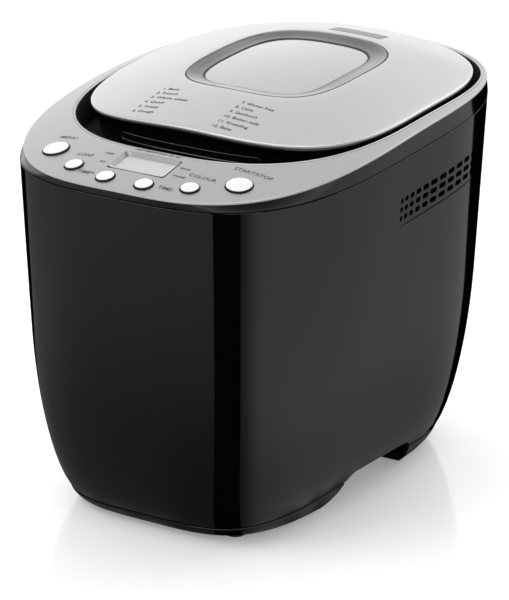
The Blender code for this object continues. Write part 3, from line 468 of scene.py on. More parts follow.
def read_back(obj):
    """The mesh that an object shows, as a bmesh; the object is cleared away."""
    depsgraph = bpy.context.evaluated_depsgraph_get()
    shown = bpy.data.meshes.new_from_object(obj.evaluated_get(depsgraph))
    mesh = bmesh.new()
    mesh.from_mesh(shown)
    bpy.data.meshes.remove(shown)
    bpy.data.objects.remove(obj, do_unlink=True)
    return mesh


def carved(mesh, tool_mesh, operation="DIFFERENCE"):
    """One closed mesh cut by another, or united with it."""
    tool = loose_object("tool", tool_mesh)
    work = loose_object("work", mesh)
    step = work.modifiers.new("cut", "BOOLEAN")
    step.object = tool
    step.operation = operation
    step.solver = "MANIFOLD"
    result = read_back(work)
    bpy.data.objects.remove(tool, do_unlink=True)
    if not result.faces:
        raise RuntimeError("a cut left nothing of its piece")
    return result


def lettering(words, surface, anchor):
    """Raised words that lie on a surface: (text, x, y, size) each."""
    pieces = []
    for text, x, y, size in words:
        curve = bpy.data.curves.new("word", "FONT")
        curve.body = text
        curve.size = size
        curve.align_x = anchor
        curve.extrude = WORD_DEPTH
        curve.offset = WORD_WEIGHT * size
        curve.resolution_u = 2
        obj = bpy.data.objects.new("word", curve)
        bpy.context.scene.collection.objects.link(obj)
        word = read_back(obj)
        for vert in word.verts:
            vert.co.x += x
            vert.co.y += y - size * 0.35
            vert.co.z += surface(vert.co.x, vert.co.y) + WORD_LIFT
        pieces.append(word)
    return joined(pieces)


def piece(name, mesh, surface, body=ROOT, nodes=()):
    """Make the finished object, at the origin, riding on its body."""
    obj = loose_object(name, mesh)
    obj.data.shade_smooth()
    obj.data.set_sharp_from_angle(angle=SHARP_ANGLE)
    obj.data.materials.clear()
    obj.data.materials.append(surface)
    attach(obj, body)
    if nodes:
        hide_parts(*nodes)
    return obj


# ---------------------------------------------------------------- finishes

def new_group(name, inputs, outputs):
    group = bpy.data.node_groups.new(name, "ShaderNodeTree")
    for label, kind, value in inputs:
        socket = group.interface.new_socket(label, in_out="INPUT", socket_type=kind)
        socket.default_value = value
    for label, kind in outputs:
        group.interface.new_socket(label, in_out="OUTPUT", socket_type=kind)
    nodes = group.nodes
    return group, nodes.new("NodeGroupInput"), nodes.new("NodeGroupOutput")


def math_node(nodes, operation, first=None, second=None):
    node = nodes.new("ShaderNodeMath")
    node.operation = operation
    if first is not None:
        node.inputs[0].default_value = first
    if second is not None:
        node.inputs[1].default_value = second
    return node


def noise_group(name, scale, detail, distortion, middle):
    """Noise about its middle, added to a value, with the noise itself as a height for bump."""
    group, source, sink = new_group(
        name,
        [("Scale", "NodeSocketFloat", scale), ("Value", "NodeSocketFloat", 0.3),
         ("Amount", "NodeSocketFloat", 0.05)],
        [("Value", "NodeSocketFloat"), ("Height", "NodeSocketFloat")])
    nodes, links = group.nodes, group.links
    place = nodes.new("ShaderNodeTexCoord")
    noise = nodes.new("ShaderNodeTexNoise")
    noise.inputs["Detail"].default_value = detail
    noise.inputs["Distortion"].default_value = distortion
    centred = math_node(nodes, "SUBTRACT", second=middle)
    scaled = math_node(nodes, "MULTIPLY")
    total = math_node(nodes, "ADD")
    total.use_clamp = True
    links.new(place.outputs["Object"], noise.inputs["Vector"])
    links.new(source.outputs["Scale"], noise.inputs["Scale"])
    links.new(noise.outputs["Fac"], centred.inputs[0])
    links.new(centred.outputs[0], scaled.inputs[0])
    links.new(source.outputs["Amount"], scaled.inputs[1])
    links.new(scaled.outputs[0], total.inputs[0])
    links.new(source.outputs["Value"], total.inputs[1])
    links.new(total.outputs[0], sink.inputs["Value"])
    links.new(noise.outputs["Fac"], sink.inputs["Height"])
    return group


def grain_group():
    """Fine moulded or sprayed grain."""
    return noise_group("Fine Grain", 900.0, 3.0, 0.0, 0.5)


def haze_group():
    """Handling marks: broad soft patches that lift or drop a value."""
    return noise_group("Handling Haze", 14.0, 4.0, 0.6, 0.45)


def spangle_group():
    """Zinc crystals or milling marks: cells that shade a colour lighter and darker."""
    group, source, sink = new_group(
        "Metal Spangle",
        [("Colour", "NodeSocketColor", (0.5, 0.5, 0.5, 1.0)),
         ("Cell Scale", "NodeSocketFloat", 160.0), ("Contrast", "NodeSocketFloat", 0.25)],
        [("Colour", "NodeSocketColor")])
    nodes, links = group.nodes, group.links
    place = nodes.new("ShaderNodeTexCoord")
    cells = nodes.new("ShaderNodeTexVoronoi")
    shade = nodes.new("ShaderNodeMapRange")
    low = math_node(nodes, "SUBTRACT", first=1.0)
    tint = nodes.new("ShaderNodeVectorMath")
    tint.operation = "SCALE"
    split = nodes.new("ShaderNodeSeparateColor")
    links.new(place.outputs["Object"], cells.inputs["Vector"])
    links.new(source.outputs["Cell Scale"], cells.inputs["Scale"])
    links.new(cells.outputs["Color"], split.inputs[0])
    links.new(split.outputs[0], shade.inputs["Value"])
    links.new(source.outputs["Contrast"], low.inputs[1])
    links.new(low.outputs[0], shade.inputs["To Min"])
    links.new(source.outputs["Colour"], tint.inputs[0])
    links.new(shade.outputs["Result"], tint.inputs["Scale"])
    links.new(tint.outputs[0], sink.inputs["Colour"])
    return group


def shared_group(name, build):
    return bpy.data.node_groups.get(name) or build()


def add_group(tree, name, build, values):
    node = tree.nodes.new("ShaderNodeGroup")
    node.node_tree = shared_group(name, build)
    for label, value in values.items():
        node.inputs[label].default_value = value
    return node


Finish = namedtuple("Finish", "colour roughness metallic grain_scale grain haze spangle coat "
                              "transmission bump", defaults=(0.0, 900.0, 0.05, 0.0, 0.0, 0.0,
                                                             0.0, 0.0))


def finish_material(name, finish):
    """A Principled surface whose colour and gloss vary through the shared groups."""
    found = bpy.data.materials.get(name)
    if found:
        return found
    surface = bpy.data.materials.new(name)
    surface.use_nodes = True
    tree = surface.node_tree
    links = tree.links
    shader = tree.nodes["Principled BSDF"]
    colour = (*finish.colour, 1.0)
    shader.inputs["Base Color"].default_value = colour
    shader.inputs["Metallic"].default_value = finish.metallic
    shader.inputs["Coat Weight"].default_value = finish.coat
    shader.inputs["Transmission Weight"].default_value = finish.transmission
    grain = add_group(tree, "Fine Grain", grain_group,
                      {"Scale": finish.grain_scale, "Value": finish.roughness,
                       "Amount": finish.grain})
    rough = grain.outputs["Value"]
    if finish.haze:
        haze = add_group(tree, "Handling Haze", haze_group, {"Amount": finish.haze})
        links.new(rough, haze.inputs["Value"])
        rough = haze.outputs["Value"]
    links.new(rough, shader.inputs["Roughness"])
    if finish.spangle:
        cells = add_group(tree, "Metal Spangle", spangle_group,
                          {"Colour": colour, "Contrast": finish.spangle})
        links.new(cells.outputs["Colour"], shader.inputs["Base Color"])
    if finish.bump:
        bump = tree.nodes.new("ShaderNodeBump")
        bump.inputs["Strength"].default_value = finish.bump
        bump.inputs["Distance"].default_value = 0.1 * MM
        links.new(grain.outputs["Height"], bump.inputs["Height"])
        links.new(bump.outputs["Normal"], shader.inputs["Normal"])
    return surface


def surfaces():
    """Every finish of the machine by name."""
    colours = bpy.context.scene.bread_finishes
    table = {
        "gloss_black_lacquer": Finish(tuple(colours.black), 0.06, grain=0.02, haze=0.03),
        "matt_black_plastic": Finish((0.006, 0.006, 0.006), 0.5, grain=0.12, bump=0.2),
        "satin_silver_paint": Finish(tuple(colours.silver), 0.36, 0.80, 2400.0, 0.10, 0.02,
                                     bump=0.03),
        "deck_silver_paint": Finish(tuple(colours.deck), 0.34, 0.80, 2400.0, 0.10, 0.02,
                                    bump=0.03),
        "smoked_bezel": Finish(tuple(colours.bezel), 0.24, 0.85, 1800.0, 0.06, 0.02, coat=0.3),
        "pale_window": Finish(tuple(colours.glass), 0.06, grain=0.02, haze=0.04,
                              transmission=0.25),
        "pale_cap": Finish(tuple(colours.cap), 0.30, 0.0, 1500.0, 0.06, 0.03, coat=0.2),
        "printed_ink": Finish(tuple(colours.ink), 0.55, grain=0.1),
        "display_face": Finish((0.52, 0.53, 0.52), 0.10, grain=0.02, haze=0.03),
        "frame_silver": Finish((0.34, 0.34, 0.35), 0.28, 0.85, 2400.0, 0.06, 0.02),
        # The lid's rim is the plate's own silver edge; this darker copy of the silver is a painted
        # dark reflection.
        "rim_painted_dark_reflection": Finish((0.09, 0.09, 0.093), 0.26, 0.85, 2400.0, 0.06, 0.02),
        "trough_black": Finish((0.002, 0.002, 0.002), 0.7, grain=0.1),
        "galvanised_sheet": Finish((0.48, 0.49, 0.50), 0.38, 1.0, 500.0, 0.12, 0.05, 0.35),
        "bright_steel": Finish((0.62, 0.62, 0.63), 0.22, 1.0, 1600.0, 0.10, 0.04, 0.06),
        "cast_aluminium": Finish((0.60, 0.61, 0.62), 0.34, 1.0, 700.0, 0.14, 0.05, 0.12,
                                 bump=0.08),
        "non_stick_coating": Finish((0.045, 0.045, 0.048), 0.40, 0.3, 1300.0, 0.16, 0.06, 0.3,
                                    bump=0.15),
        "moulded_rubber": Finish((0.012, 0.012, 0.012), 0.75, grain=0.15, bump=0.3),
        "circuit_laminate": Finish((0.02, 0.13, 0.06), 0.4, grain=0.1, haze=0.05),
        "natural_nylon": Finish((0.62, 0.60, 0.55), 0.48, grain=0.1, haze=0.05),
    }
    return {name: finish_material(name, finish) for name, finish in table.items()}


CAD_FINISHES = {
    "galvanised_sheet": ("base_screw_", "chamber_standoff_", "chassis_plate", "motor"),
    "bright_steel": ("hinge_pin_", "temperature_sensor", "drive_shaft", "pan_shaft"),
    "cast_aluminium": ("pan_socket", "drive_bearing", "pan_base_ring", "pan_bearing",
                       "drive_coupler", "small_pulley"),
    "matt_black_plastic": ("display_module", "hinge_bracket_"),
    "circuit_laminate": ("control_board", "power_board"),
    "moulded_rubber": ("drive_belt",),
    "natural_nylon": ("large_pulley",),
}


# ---------------------------------------------------------------- tub and base

def tub_rings(inset, groove_depth, gap):
    """Rings of one face of the tub's wall, from the sloping seam down to the plinth."""
    rings = []

    def groove(share):
        def depth(x, y):
            return groove_depth * share * smooth(y, -0.016, 0.002)
        return depth if share and groove_depth else None

    depths = [(0.0, 0), (0.1, 0), (1.2, 0), (6, 0), (12, 0), (18, 0), (24, 0), (27, 0),
              (30, 0), (33, 0), (36, 0), (39, 0), (42, 0), (45, 0), (46.9, 0), (47.3, 0),
              (47.38, 1.0), (48.12, 1.0), (48.2, 0), (48.6, 0), (51, 0), (UPPER_DEPTH / MM, 0)]
    for depth, share in depths:
        drop = depth * MM + gap / 2
        draw = 0.1 * MM if depth == 0.0 else 0.0
        outline = grown(tub_outline(SEAM_Z - drop), -inset - draw)
        rings.append((outline, below(seam_height, drop), groove(share)))
    steps = 22
    for step in range(1, steps + 1):
        share = step / steps
        low_z = PLINTH_SEAM_Z + gap / 2
        middle = (SEAM_Z - UPPER_DEPTH) * (1 - share) + low_z * share

        def height(x, y, share=share):
            high = seam_height(x, y) - UPPER_DEPTH
            return high + (plinth_seam(x, y) + gap / 2 - high) * share

        rings.append((grown(tub_outline(middle), -inset), height))
    outline, height = rings[-1]
    rings[-1] = (outline, lambda x, y: height(x, y) + 0.35 * MM)
    rings.append((grown(outline, -0.4 * MM), height))
    return rings


def arch_outline(height):
    """Side view of a hand arch as (y, z): a long wave in front, a rounder one behind."""
    front, rear = ARCH_Y
    shape = [(front - 6 * MM, -1 * MM), (front - 1 * MM, 5.5 * MM)]
    for step in range(9):
        share = step / 8
        shape.append((front + 4 * MM + share * 17 * MM,
                      9 * MM + (height - 9 * MM) * smooth(share, -0.15, 1.0)))
    for step in range(1, 9):
        share = step / 8
        shape.append((front + 21 * MM + share * (rear - front - 33 * MM),
                      height - 1.5 * MM * share * share))
    for step in range(1, 7):
        angle = math.radians(90 * step / 6)
        shape.append((rear - 12 * MM + 12 * MM * math.sin(angle),
                      height - 1.5 * MM - 12 * MM * (1 - math.cos(angle))))
    return shape + [(rear, -1 * MM)]


def arch_tool(height):
    outline = arch_outline(height)
    reach = SEAM_EDGE.half_width + 10 * MM
    return joined([prism(outline, ARCH_INNER_X, reach), prism(outline, -reach, -ARCH_INNER_X)])


def vent_tool(columns, height):
    """Rows of slots on a pitch that grows towards the rear, then round the rear corner."""
    rows = (30.0 * MM, 36.3 * MM, 42.6 * MM)
    outline = tub_outline(SEAM_Z - rows[1])
    fine = [Vector((*outline_point(outline, math.tau * step / 1440), 0.0))
            for step in range(1440)]
    fine = sorted((p for p in fine if p.x > 0 and VENT_START_Y <= p.y < outline.rear * 0.97),
                  key=lambda p: p.y)
    places = []
    pitch, travel, due = 6.0 * MM, 0.0, 0.0
    for here, following in zip(fine, fine[1:]):
        run = following - here
        while travel + run.length > due and len(places) < columns:
            outward = Vector((run.y, -run.x, 0.0)).normalized()
            fill = 0.55 + 0.22 * (pitch / MM - 6.0) / 6.3
            places.append((here + run * ((due - travel) / run.length), outward, pitch * fill))
            due += pitch
            pitch = min(pitch + 1.25 * MM, 12.3 * MM)
        travel += run.length
    slots = []
    for side in (1, -1):
        for place, outward, width in places:
            for depth in rows:
                bar = slot_bar(width / 2, height / 2, 5 * MM)
                lay = Matrix(((0, 0, 1, 0), (1, 0, 0, 0), (0, 1, 0, 0), (0, 0, 0, 1)))
                turn = Matrix.Rotation(math.atan2(outward.y, side * outward.x), 4, "Z")
                z = seam_height(place.x, place.y) - depth
                seat = Matrix.Translation((side * place.x, place.y, z))
                slots.append(placed(bar, seat @ turn @ lay))
    return joined(slots)


def gland_seat():
    low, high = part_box("cord_gland")
    x, z = (low.x + high.x) / 2, (low.z + high.z) / 2
    return Matrix.Translation((x, high.y - 8 * MM, z)) @ Matrix.Rotation(math.radians(-90), 4, "X")


class BREAD_OT_tub(bpy.types.Operator):
    """Model the gloss tub with its vents, groove and hand arches"""
    bl_idname = "bread.tub"
    bl_label = "Tub"

    def execute(self, context):
        sizes = context.scene.bread_tub
        finish = surfaces()
        outer = tub_rings(0.0, sizes.groove_depth, sizes.seam_gap)
        inner = [ring[:2] for ring in reversed(tub_rings(sizes.wall, 0.0, sizes.seam_gap))]
        mesh = skin(outer + inner[::3] + inner[-1:], closed=True)
        mesh = carved(mesh, arch_tool(sizes.arch_height))
        mesh = carved(mesh, vent_tool(sizes.vent_columns, sizes.vent_height))
        mesh = carved(mesh, placed(plug(6.3, -12, 12), gland_seat()))
        piece("tub_shell", mesh, finish["gloss_black_lacquer"], nodes=["body_shell"])
        return {"FINISHED"}


class BREAD_OT_base(bpy.types.Operator):
    """Model the plinth, the feet and the cord gland"""
    bl_idname = "bread.base"
    bl_label = "Plinth and feet"

    def execute(self, context):
        sizes = context.scene.bread_tub
        finish = surfaces()
        mesh = carved(skin(self.plinth_rings(sizes)), arch_tool(sizes.arch_height))
        piece("plinth", mesh, finish["gloss_black_lacquer"], nodes=["base_plinth"])
        for side in ("front_left", "front_right", "rear_left", "rear_right"):
            low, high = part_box("foot_" + side)
            middle = Matrix.Translation(((low.x + high.x) / 2, (low.y + high.y) / 2, 0))
            foot = turned([(0, 0.4), (4.6, 0.4), (5, 0), (6.8, 0), (7.6, 0.6), (7.8, 1.6),
                           (7.8, 3.2), (0, 3.2)], 36)
            piece("foot_pad_" + side, placed(foot, middle), finish["moulded_rubber"],
                  nodes=["foot_" + side])
        ribs = [(3.6, -7), (6.0, -7), (6.0, 1.8), (8.3, 1.9), (8.4, 2.6), (7.6, 4.0), (6.9, 4.3),
                (6.9, 4.9), (6.4, 5.2), (6.3, 5.8), (5.8, 6.1), (5.6, 7.4), (5.1, 8), (3.6, 8)]
        gland = placed(turned(ribs, 36, closed=True), gland_seat())
        piece("cord_bush", gland, finish["moulded_rubber"], nodes=["cord_gland"])
        return {"FINISHED"}

    def plinth_rings(self, sizes):
        """Rings from the underside up to the seam, and down again inside the tub's wall."""
        gap, low = sizes.seam_gap, PLINTH_LOW_Z
        inside = sizes.wall + gap
        foot_line = grown(tub_outline(2.6 * MM), -1.2 * MM)

        def under_seam(share):
            return lambda x, y: low + (plinth_seam(x, y) - gap / 2 - low) * share

        rings = [(grown(foot_line, -30 * MM), low), (foot_line, low),
                 (grown(foot_line, 0.8 * MM), low + 0.3 * MM)]
        for share in (0.2, 0.4, 0.6, 0.8, 0.94):
            z = max(low + (PLINTH_SEAM_Z - low) * share, BASE_Z)
            rings.append((tub_outline(z), under_seam(share)))
        top, collar = tub_outline(PLINTH_SEAM_Z), tub_outline(PLINTH_COLLAR_Z)
        return rings + [
            (grown(top, -0.4 * MM), under_seam(1.0)), (grown(top, -inside), under_seam(1.0)),
            (grown(collar, -inside), PLINTH_COLLAR_Z),
            (grown(collar, -inside - 2.5 * MM), PLINTH_COLLAR_Z),
            (grown(top, -inside - 2.5 * MM), PLINTH_SEAM_Z),
            (grown(foot_line, -inside - 2 * MM), 6 * MM), (grown(foot_line, -30 * MM), 6 * MM)]


# ---------------------------------------------------------------- deck and panel

def panel_holes(panel):
    tools = []
    for name, (x, y) in BUTTON_PLACES.items():
        radius = button_radius(panel, name) + panel.well_gap
        tools.append(placed(plug(radius / MM, -9, 5, 56), deck_seat(x, y)))
    half_x, half_y = panel.display_half
    hole = slot_box(half_x, half_y, 1.6 * MM, -7 * MM, 5 * MM)
    tools.append(placed(hole, deck_seat(*DISPLAY_PLACE)))
    return joined(tools)


def button_radius(panel, name):
    return panel.large_button if name in LARGE_BUTTONS else panel.small_button


def slot_box(half_x, half_y, corner, low, high):
    """A box with rounded upright corners."""
    mesh = block((-half_x, -half_y, low), (half_x, half_y, high))
    upright = [edge for edge in mesh.edges
               if abs(edge.verts[0].co.z - edge.verts[1].co.z) > (high - low) / 2]
    return soften(mesh, upright, corner, 4)


class BREAD_OT_deck(bpy.types.Operator):
    """Model the silver deck and the black band and trough under it"""
    bl_idname = "bread.deck"
    bl_label = "Deck and band"

    def execute(self, context):
        panel = context.scene.bread_panel
        finish = surfaces()
        mesh = self.opened(self.deck_rings(), panel, HINGE_NOTCH_HALF, 0.250)
        piece("deck_skin", mesh, finish["deck_silver_paint"], nodes=["deck_panel"])
        band, trough = self.band_rings(context.scene.bread_tub.seam_gap)
        mesh = self.opened(band, panel, HINGE_POCKET_HALF, 0.252)
        piece("deck_band", mesh, finish["gloss_black_lacquer"], nodes=["top_band"])
        mesh = self.opened(trough, panel, HINGE_POCKET_HALF, 0.252)
        piece("trough_liner", mesh, finish["trough_black"])
        return {"FINISHED"}

    def opened(self, rings, panel, half, low):
        """A closed skin with the holes of the panel and the notch for the hinge."""
        front, rear = HINGE_NOTCH_Y
        notch = block((-half, front, low), (half, rear, 0.295))
        return carved(carved(skin(rings, closed=True), panel_holes(panel)), notch)

    def deck_rings(self):
        top = deck_height
        outer = stepped(DECK_EDGE, top, (-1.0, 1.4), (-0.2, 1.3), (0, 1.1), (0, 0.5),
                        (-0.18, 0.15), (-0.6, 0.02), (-1.3, 0))
        across = [(mixed(outer[-1][0], grown(OPENING_EDGE, 2.0 * MM), step / 12), top)
                  for step in range(1, 13)]
        bead = stepped(OPENING_EDGE, top, (1.9, 0.4), (1.5, 0.4), (1.35, -0.1), (0.8, -0.3),
                       (0.3, -0.12), (0, 0.3), (0, 1.4))
        return outer + across + bead + stepped(mixed(DECK_EDGE, OPENING_EDGE, 0.5), top, (0, 1.4))

    def band_rings(self, gap):
        """Rings of the band between seam and deck, and of the trough round the lid."""
        under, lower = below(deck_height, BAND_DROP), below(deck_height, BAND_THICK)
        seam = below(seam_height, -gap / 2)
        trough = grown(OPENING_EDGE, -3.0 * MM)
        mouth = grown(CHAMBER_EDGE, 3 * MM)
        lip = grown(OPENING_EDGE, 0.3 * MM)
        band = [(grown(SEAM_EDGE, -0.1 * MM), seam), (SEAM_EDGE, below(seam, -0.1 * MM))]
        for step in range(1, 7):
            share = step / 6

            def height(x, y, share=share):
                low = seam_height(x, y) + 1.0 * MM
                return low + (deck_height(x, y) - BAND_DROP - low) * share

            band.append((mixed(SEAM_EDGE, grown(DECK_EDGE, -0.3 * MM), share), height))
        band += [(mixed(DECK_EDGE, OPENING_EDGE, 0.5), under),
                 (grown(OPENING_EDGE, 3.2 * MM), under), (grown(OPENING_EDGE, 3.2 * MM), lower),
                 (grown(DECK_EDGE, -3 * MM), lower), (grown(SEAM_EDGE, -2.5 * MM), seam)]
        well = [(grown(OPENING_EDGE, 3.0 * MM), under), (lip, under),
                (mixed(lip, trough, 0.5), 0.2545), (trough, TROUGH_Z),
                (grown(trough, -1.2 * MM), TROUGH_Z - MM), (mouth, TROUGH_Z - MM),
                (mouth, TROUGH_Z - 3 * MM), (grown(trough, 2 * MM), TROUGH_Z - 3 * MM),
                (grown(OPENING_EDGE, 2.3 * MM), lower), (grown(OPENING_EDGE, 3.0 * MM), lower)]
        return band, well


class BREAD_OT_panel(bpy.types.Operator):
    """Model the buttons, the display and the printed words of the panel"""
    bl_idname = "bread.panel"
    bl_label = "Control panel"

    def execute(self, context):
        panel = context.scene.bread_panel
        finish = surfaces()
        wells = []
        for name, (x, y) in BUTTON_PLACES.items():
            radius = button_radius(panel, name)
            seat = deck_seat(x, y)
            self.button(name, radius, seat, finish)
            outer = radius + panel.well_gap
            rim = outer / MM
            sleeve = turned([(rim - 0.05, -0.25), (rim - 0.05, -5), (rim - 0.3, -5),
                             (rim - 0.3, -0.25)], 56, closed=True)
            wells.append(placed(sleeve, seat))
            nub = turned([(0, 0.7), (0.6, 0.6), (0.8, 0.3), (0.8, -3), (0, -3)], 20)
            aside = Matrix.Rotation(NUB_TURN, 4, "Z") @ Matrix.Translation((0, -outer, 0))
            wells.append(placed(nub, seat @ aside))
        piece("button_wells", joined(wells), finish["matt_black_plastic"])
        self.display(panel, finish)
        words = [(text, x * MM, y * MM, panel.word_size * share)
                 for text, x, y, share in PANEL_WORDS]
        piece("panel_words", lettering(words, deck_height, "CENTER"), finish["printed_ink"])
        return {"FINISHED"}

    def button(self, name, radius, seat, finish):
        """A pale cap in a dark skirt, both riding on the button's own body."""
        rim = radius / MM
        cap = turned([(0, -15), (2.2, -15), (2.2, -6), (rim - 0.32, -6), (rim - 0.32, 1.2),
                      (rim - 0.65, 1.42), (rim - 1.3, 1.52), (rim * 0.5, 1.66),
                      (rim * 0.2, 1.7), (0, 1.7)], 64)
        piece(name + "_cap", placed(cap, seat), finish["pale_cap"], name, [name])
        skirt = turned([(rim - 0.3, -6), (rim + 0.2, -6), (rim + 0.2, 1.0), (rim, 1.15),
                        (rim - 0.3, 1.15)], 64, closed=True)
        piece(name + "_skirt", placed(skirt, seat), finish["matt_black_plastic"], name)

    def display(self, panel, finish):
        seat = deck_seat(*DISPLAY_PLACE)
        half_x, half_y = panel.display_half
        frame_line = Outline(half_x, half_y, half_y, 14.0, 14.0, 0.0)
        profile = ((0.45, 0.05), (0.8, 0.0), (2.6, -2.1), (2.9, -2.5), (2.9, -3.6), (0.45, -3.6))
        rings = [(grown(frame_line, -inset * MM), z * MM) for inset, z in profile]
        surround = skin(rings, 160, closed=True)
        piece("display_surround", placed(surround, seat), finish["frame_silver"])
        face = slot_box(half_x - 3.0 * MM, half_y - 3.0 * MM, 1.2 * MM, -3.6 * MM, -2.4 * MM)
        piece("display_face", placed(face, seat), finish["display_face"],
              nodes=["display_window"])


# ---------------------------------------------------------------- lid

class BREAD_OT_lid(bpy.types.Operator):
    """Model the domed lid plate, the lid's wall and the hinge knuckle"""
    bl_idname = "bread.lid"
    bl_label = "Lid"

    def execute(self, context):
        sizes = context.scene.bread_lid
        finish = surfaces()
        self.plate(sizes, finish)
        self.window(sizes, finish)
        self.wall(sizes, finish)
        self.knuckle(finish)
        words = []
        for index, name in enumerate(PROGRAMMES):
            column, row = divmod(index, 6)
            words.append((f"{index + 1}. {name}", (-48.6 + 65.4 * column) * MM,
                          (-44.8 - 7.25 * row - 3.4 * column) * MM,
                          context.scene.bread_panel.list_size))
        piece("lid_words", lettering(words, lid_height, "LEFT"), finish["printed_ink"], LID)
        return {"FINISHED"}

    def plate(self, sizes, finish):
        """The top plate with its grille, and under its edge the rim, in silver darkened as a
        painted dark reflection.
        """
        top = lid_height
        under = below(top, sizes.skin)
        rim = stepped(LID_EDGE, top, (-3.4, 3.9), (-1.2, 3.9), (-0.5, 3.6), (-0.15, 3.0),
                      (-0.1, 1.75), (-0.3, 1.45), (-3.3, 1.45))
        # The rim's dark finish is a painted reflection: the real edge is the plate's silver paint.
        piece("lid_rim", skin(rim, closed=True), finish["rim_painted_dark_reflection"], LID)
        rings = stepped(LID_EDGE, top, (-3.4, 1.4), (-0.3, 1.4), (0, 1.15), (0, 0.7),
                        (-0.2, 0.32), (-0.6, 0.1), (-1.2, 0.02), (-4.2, 0))
        rings += [(mixed(grown(LID_EDGE, -4.2 * MM), grown(WINDOW_EDGE, 0.8 * MM), step / 10),
                   top) for step in range(1, 11)]
        rings += stepped(WINDOW_EDGE, top, (0.25, 0.12), (0, 0.5))
        rings += [(WINDOW_EDGE, under), (mixed(LID_EDGE, WINDOW_EDGE, 0.5), under),
                  (grown(LID_EDGE, -4.4 * MM), under)]
        slots = []
        for index in range(4):
            bar = slot_bar(21.5 * MM, 1.0 * MM, 20 * MM)
            place = (GRILLE_PLACE[0], GRILLE_PLACE[1] + 3.6 * MM * index, 0.285)
            slots.append(placed(bar, Matrix.Translation(place)))
        plate = carved(skin(rings, closed=True), joined(slots))
        piece("lid_plate", plate, finish["satin_silver_paint"], LID, ["lid_top_plate"])

    def window(self, sizes, finish):
        """The sloping surround, the dark lines beside it and the two panes."""
        top = lid_height
        drop = sizes.bezel_drop
        outer = grown(WINDOW_EDGE, -0.75 * MM)
        inner = grown(GLASS_EDGE, 0.35 * MM)
        rings = stepped(outer, top, (0, 1.0), (-0.15, 0.55), (-0.6, 0.42))
        for step in range(1, 8):
            share = step / 8
            fall = 0.42 * MM + (drop - 0.42 * MM) * smooth(share, -0.25, 1.1)
            rings.append((mixed(rings[2][0], inner, share), below(top, fall)))
        rings += stepped(inner, below(top, drop), (0, 0), (-0.2, 0.3))
        rings += stepped(inner, top, (-0.2, 4.2)) + stepped(outer, top, (0, 2.4))
        piece("window_surround", skin(rings, closed=True), finish["smoked_bezel"], LID,
              ["window_bezel"])
        gasket = stepped(WINDOW_EDGE, top, (-0.05, 1.0), (-0.77, 1.0), (-0.77, 2.3),
                         (-0.05, 2.15))
        seal = stepped(inner, below(top, drop), (-0.25, 0.35), (-1.3, 0.65))
        seal += stepped(inner, top, (-1.3, 4.5), (-0.25, 4.5))
        for name, rings in (("window_gasket", gasket), ("glass_seal", seal)):
            piece(name, skin(rings, closed=True), finish["matt_black_plastic"], LID)
        glass = pane(grown(inner, -1.35 * MM), below(top, drop + 0.9 * MM), sizes.glass + 0.9 * MM)
        piece("window_pane", glass, finish["pale_window"], LID, ["window_glass"])
        glass_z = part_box("inner_glass")[1].z
        flat = pane(grown(GLASS_EDGE, 6 * MM), lambda x, y: glass_z, sizes.glass)
        piece("lower_pane", flat, finish["pale_window"], LID, ["inner_glass"])

    def wall(self, sizes, finish):
        """The black wall under the plate, the liner inside it and the finger slot's bead."""
        top = below(lid_height, 4.1 * MM)
        low = 0.2455
        outer_top, outer_low = grown(LID_EDGE, -3.0 * MM), grown(LID_EDGE, -5.5 * MM)
        rings = [(outer_top, top),
                 (mixed(outer_top, outer_low, 0.5), lambda x, y: (top(x, y) + low) / 2),
                 (outer_low, low + 0.8 * MM)]
        rings += stacked(LID_EDGE, (-6.3, 245.5), (-18, 245.5), (-18, 247.5), (-8, 247.5))
        rings.append((outer_low, top))
        piece("lid_wall", skin(rings, closed=True), finish["gloss_black_lacquer"], LID,
              ["lid_shell"])
        rings = stacked(LID_EDGE, (-10, 247.9), (-19, 247.9), (-21, 248.7), (-26, 257.2),
                        (-28, 258))
        rings += stacked(GLASS_EDGE, (2, 258), (2, 259))
        rings += stacked(LID_EDGE, (-27.2, 259), (-20.2, 248.9), (-10, 248.9))
        piece("lid_liner_sheet", skin(rings, closed=True), finish["cast_aluminium"], LID,
              ["lid_liner"])
        wall_top = lid_height(0, LID_EDGE.centre_y - LID_EDGE.front) - 4.1 * MM

        def on_wall(x, z):
            share = min(max((z - low) / (wall_top - low), 0.0), 1.0)
            line = mixed(outer_low, outer_top, share)
            reach = (1 - abs(x / line.half_width) ** line.front_power) ** (1 / line.front_power)
            return Vector((x, line.centre_y - line.front * reach - 0.1 * MM, z))

        half, rise, middle = 52.5 * MM, 2.6 * MM, 0.2532
        path = []
        for side in (1, -1):
            path += [on_wall(side * (half * step / 12 - half), middle - side * rise)
                     for step in range(25)]
            for step in range(1, 8):
                angle = math.radians(-90 * side + 180 * step / 8)
                path.append(on_wall(side * half + rise * math.cos(angle),
                                    middle + rise * math.sin(angle)))
        piece("finger_slot_bead", swept(path, sizes.bead, 10, closed=True),
              finish["smoked_bezel"], LID)

    def knuckle(self, finish):
        front = LID_EDGE.centre_y + LID_EDGE.rear - 2.2 * MM
        outline = [(front, HINGE.z - 6 * MM)]
        for step in range(19):
            angle = math.radians(-100 + 200 * step / 18)
            outline.append((HINGE.y + 6.2 * MM * math.cos(angle),
                            HINGE.z + 6.2 * MM * math.sin(angle)))
        outline += [(front + 5 * MM, HINGE.z + 6.25 * MM), (front + 3.2 * MM, HINGE.z + 6.6 * MM),
                    (front + 1.2 * MM, HINGE.z + 9 * MM), (front, HINGE.z + 12.8 * MM)]
        mesh = prism(outline, -KNUCKLE_HALF, KNUCKLE_HALF)
        ends = [edge for edge in mesh.edges
                if abs(abs(edge.verts[0].co.x) - KNUCKLE_HALF) < WELD
                and abs(edge.verts[0].co.x - edge.verts[1].co.x) < WELD]
        soften(mesh, ends, 0.6 * MM, 3)
        piece("knuckle_block", mesh, finish["satin_silver_paint"], LID, ["hinge_knuckle"])


# ---------------------------------------------------------------- chamber and pan

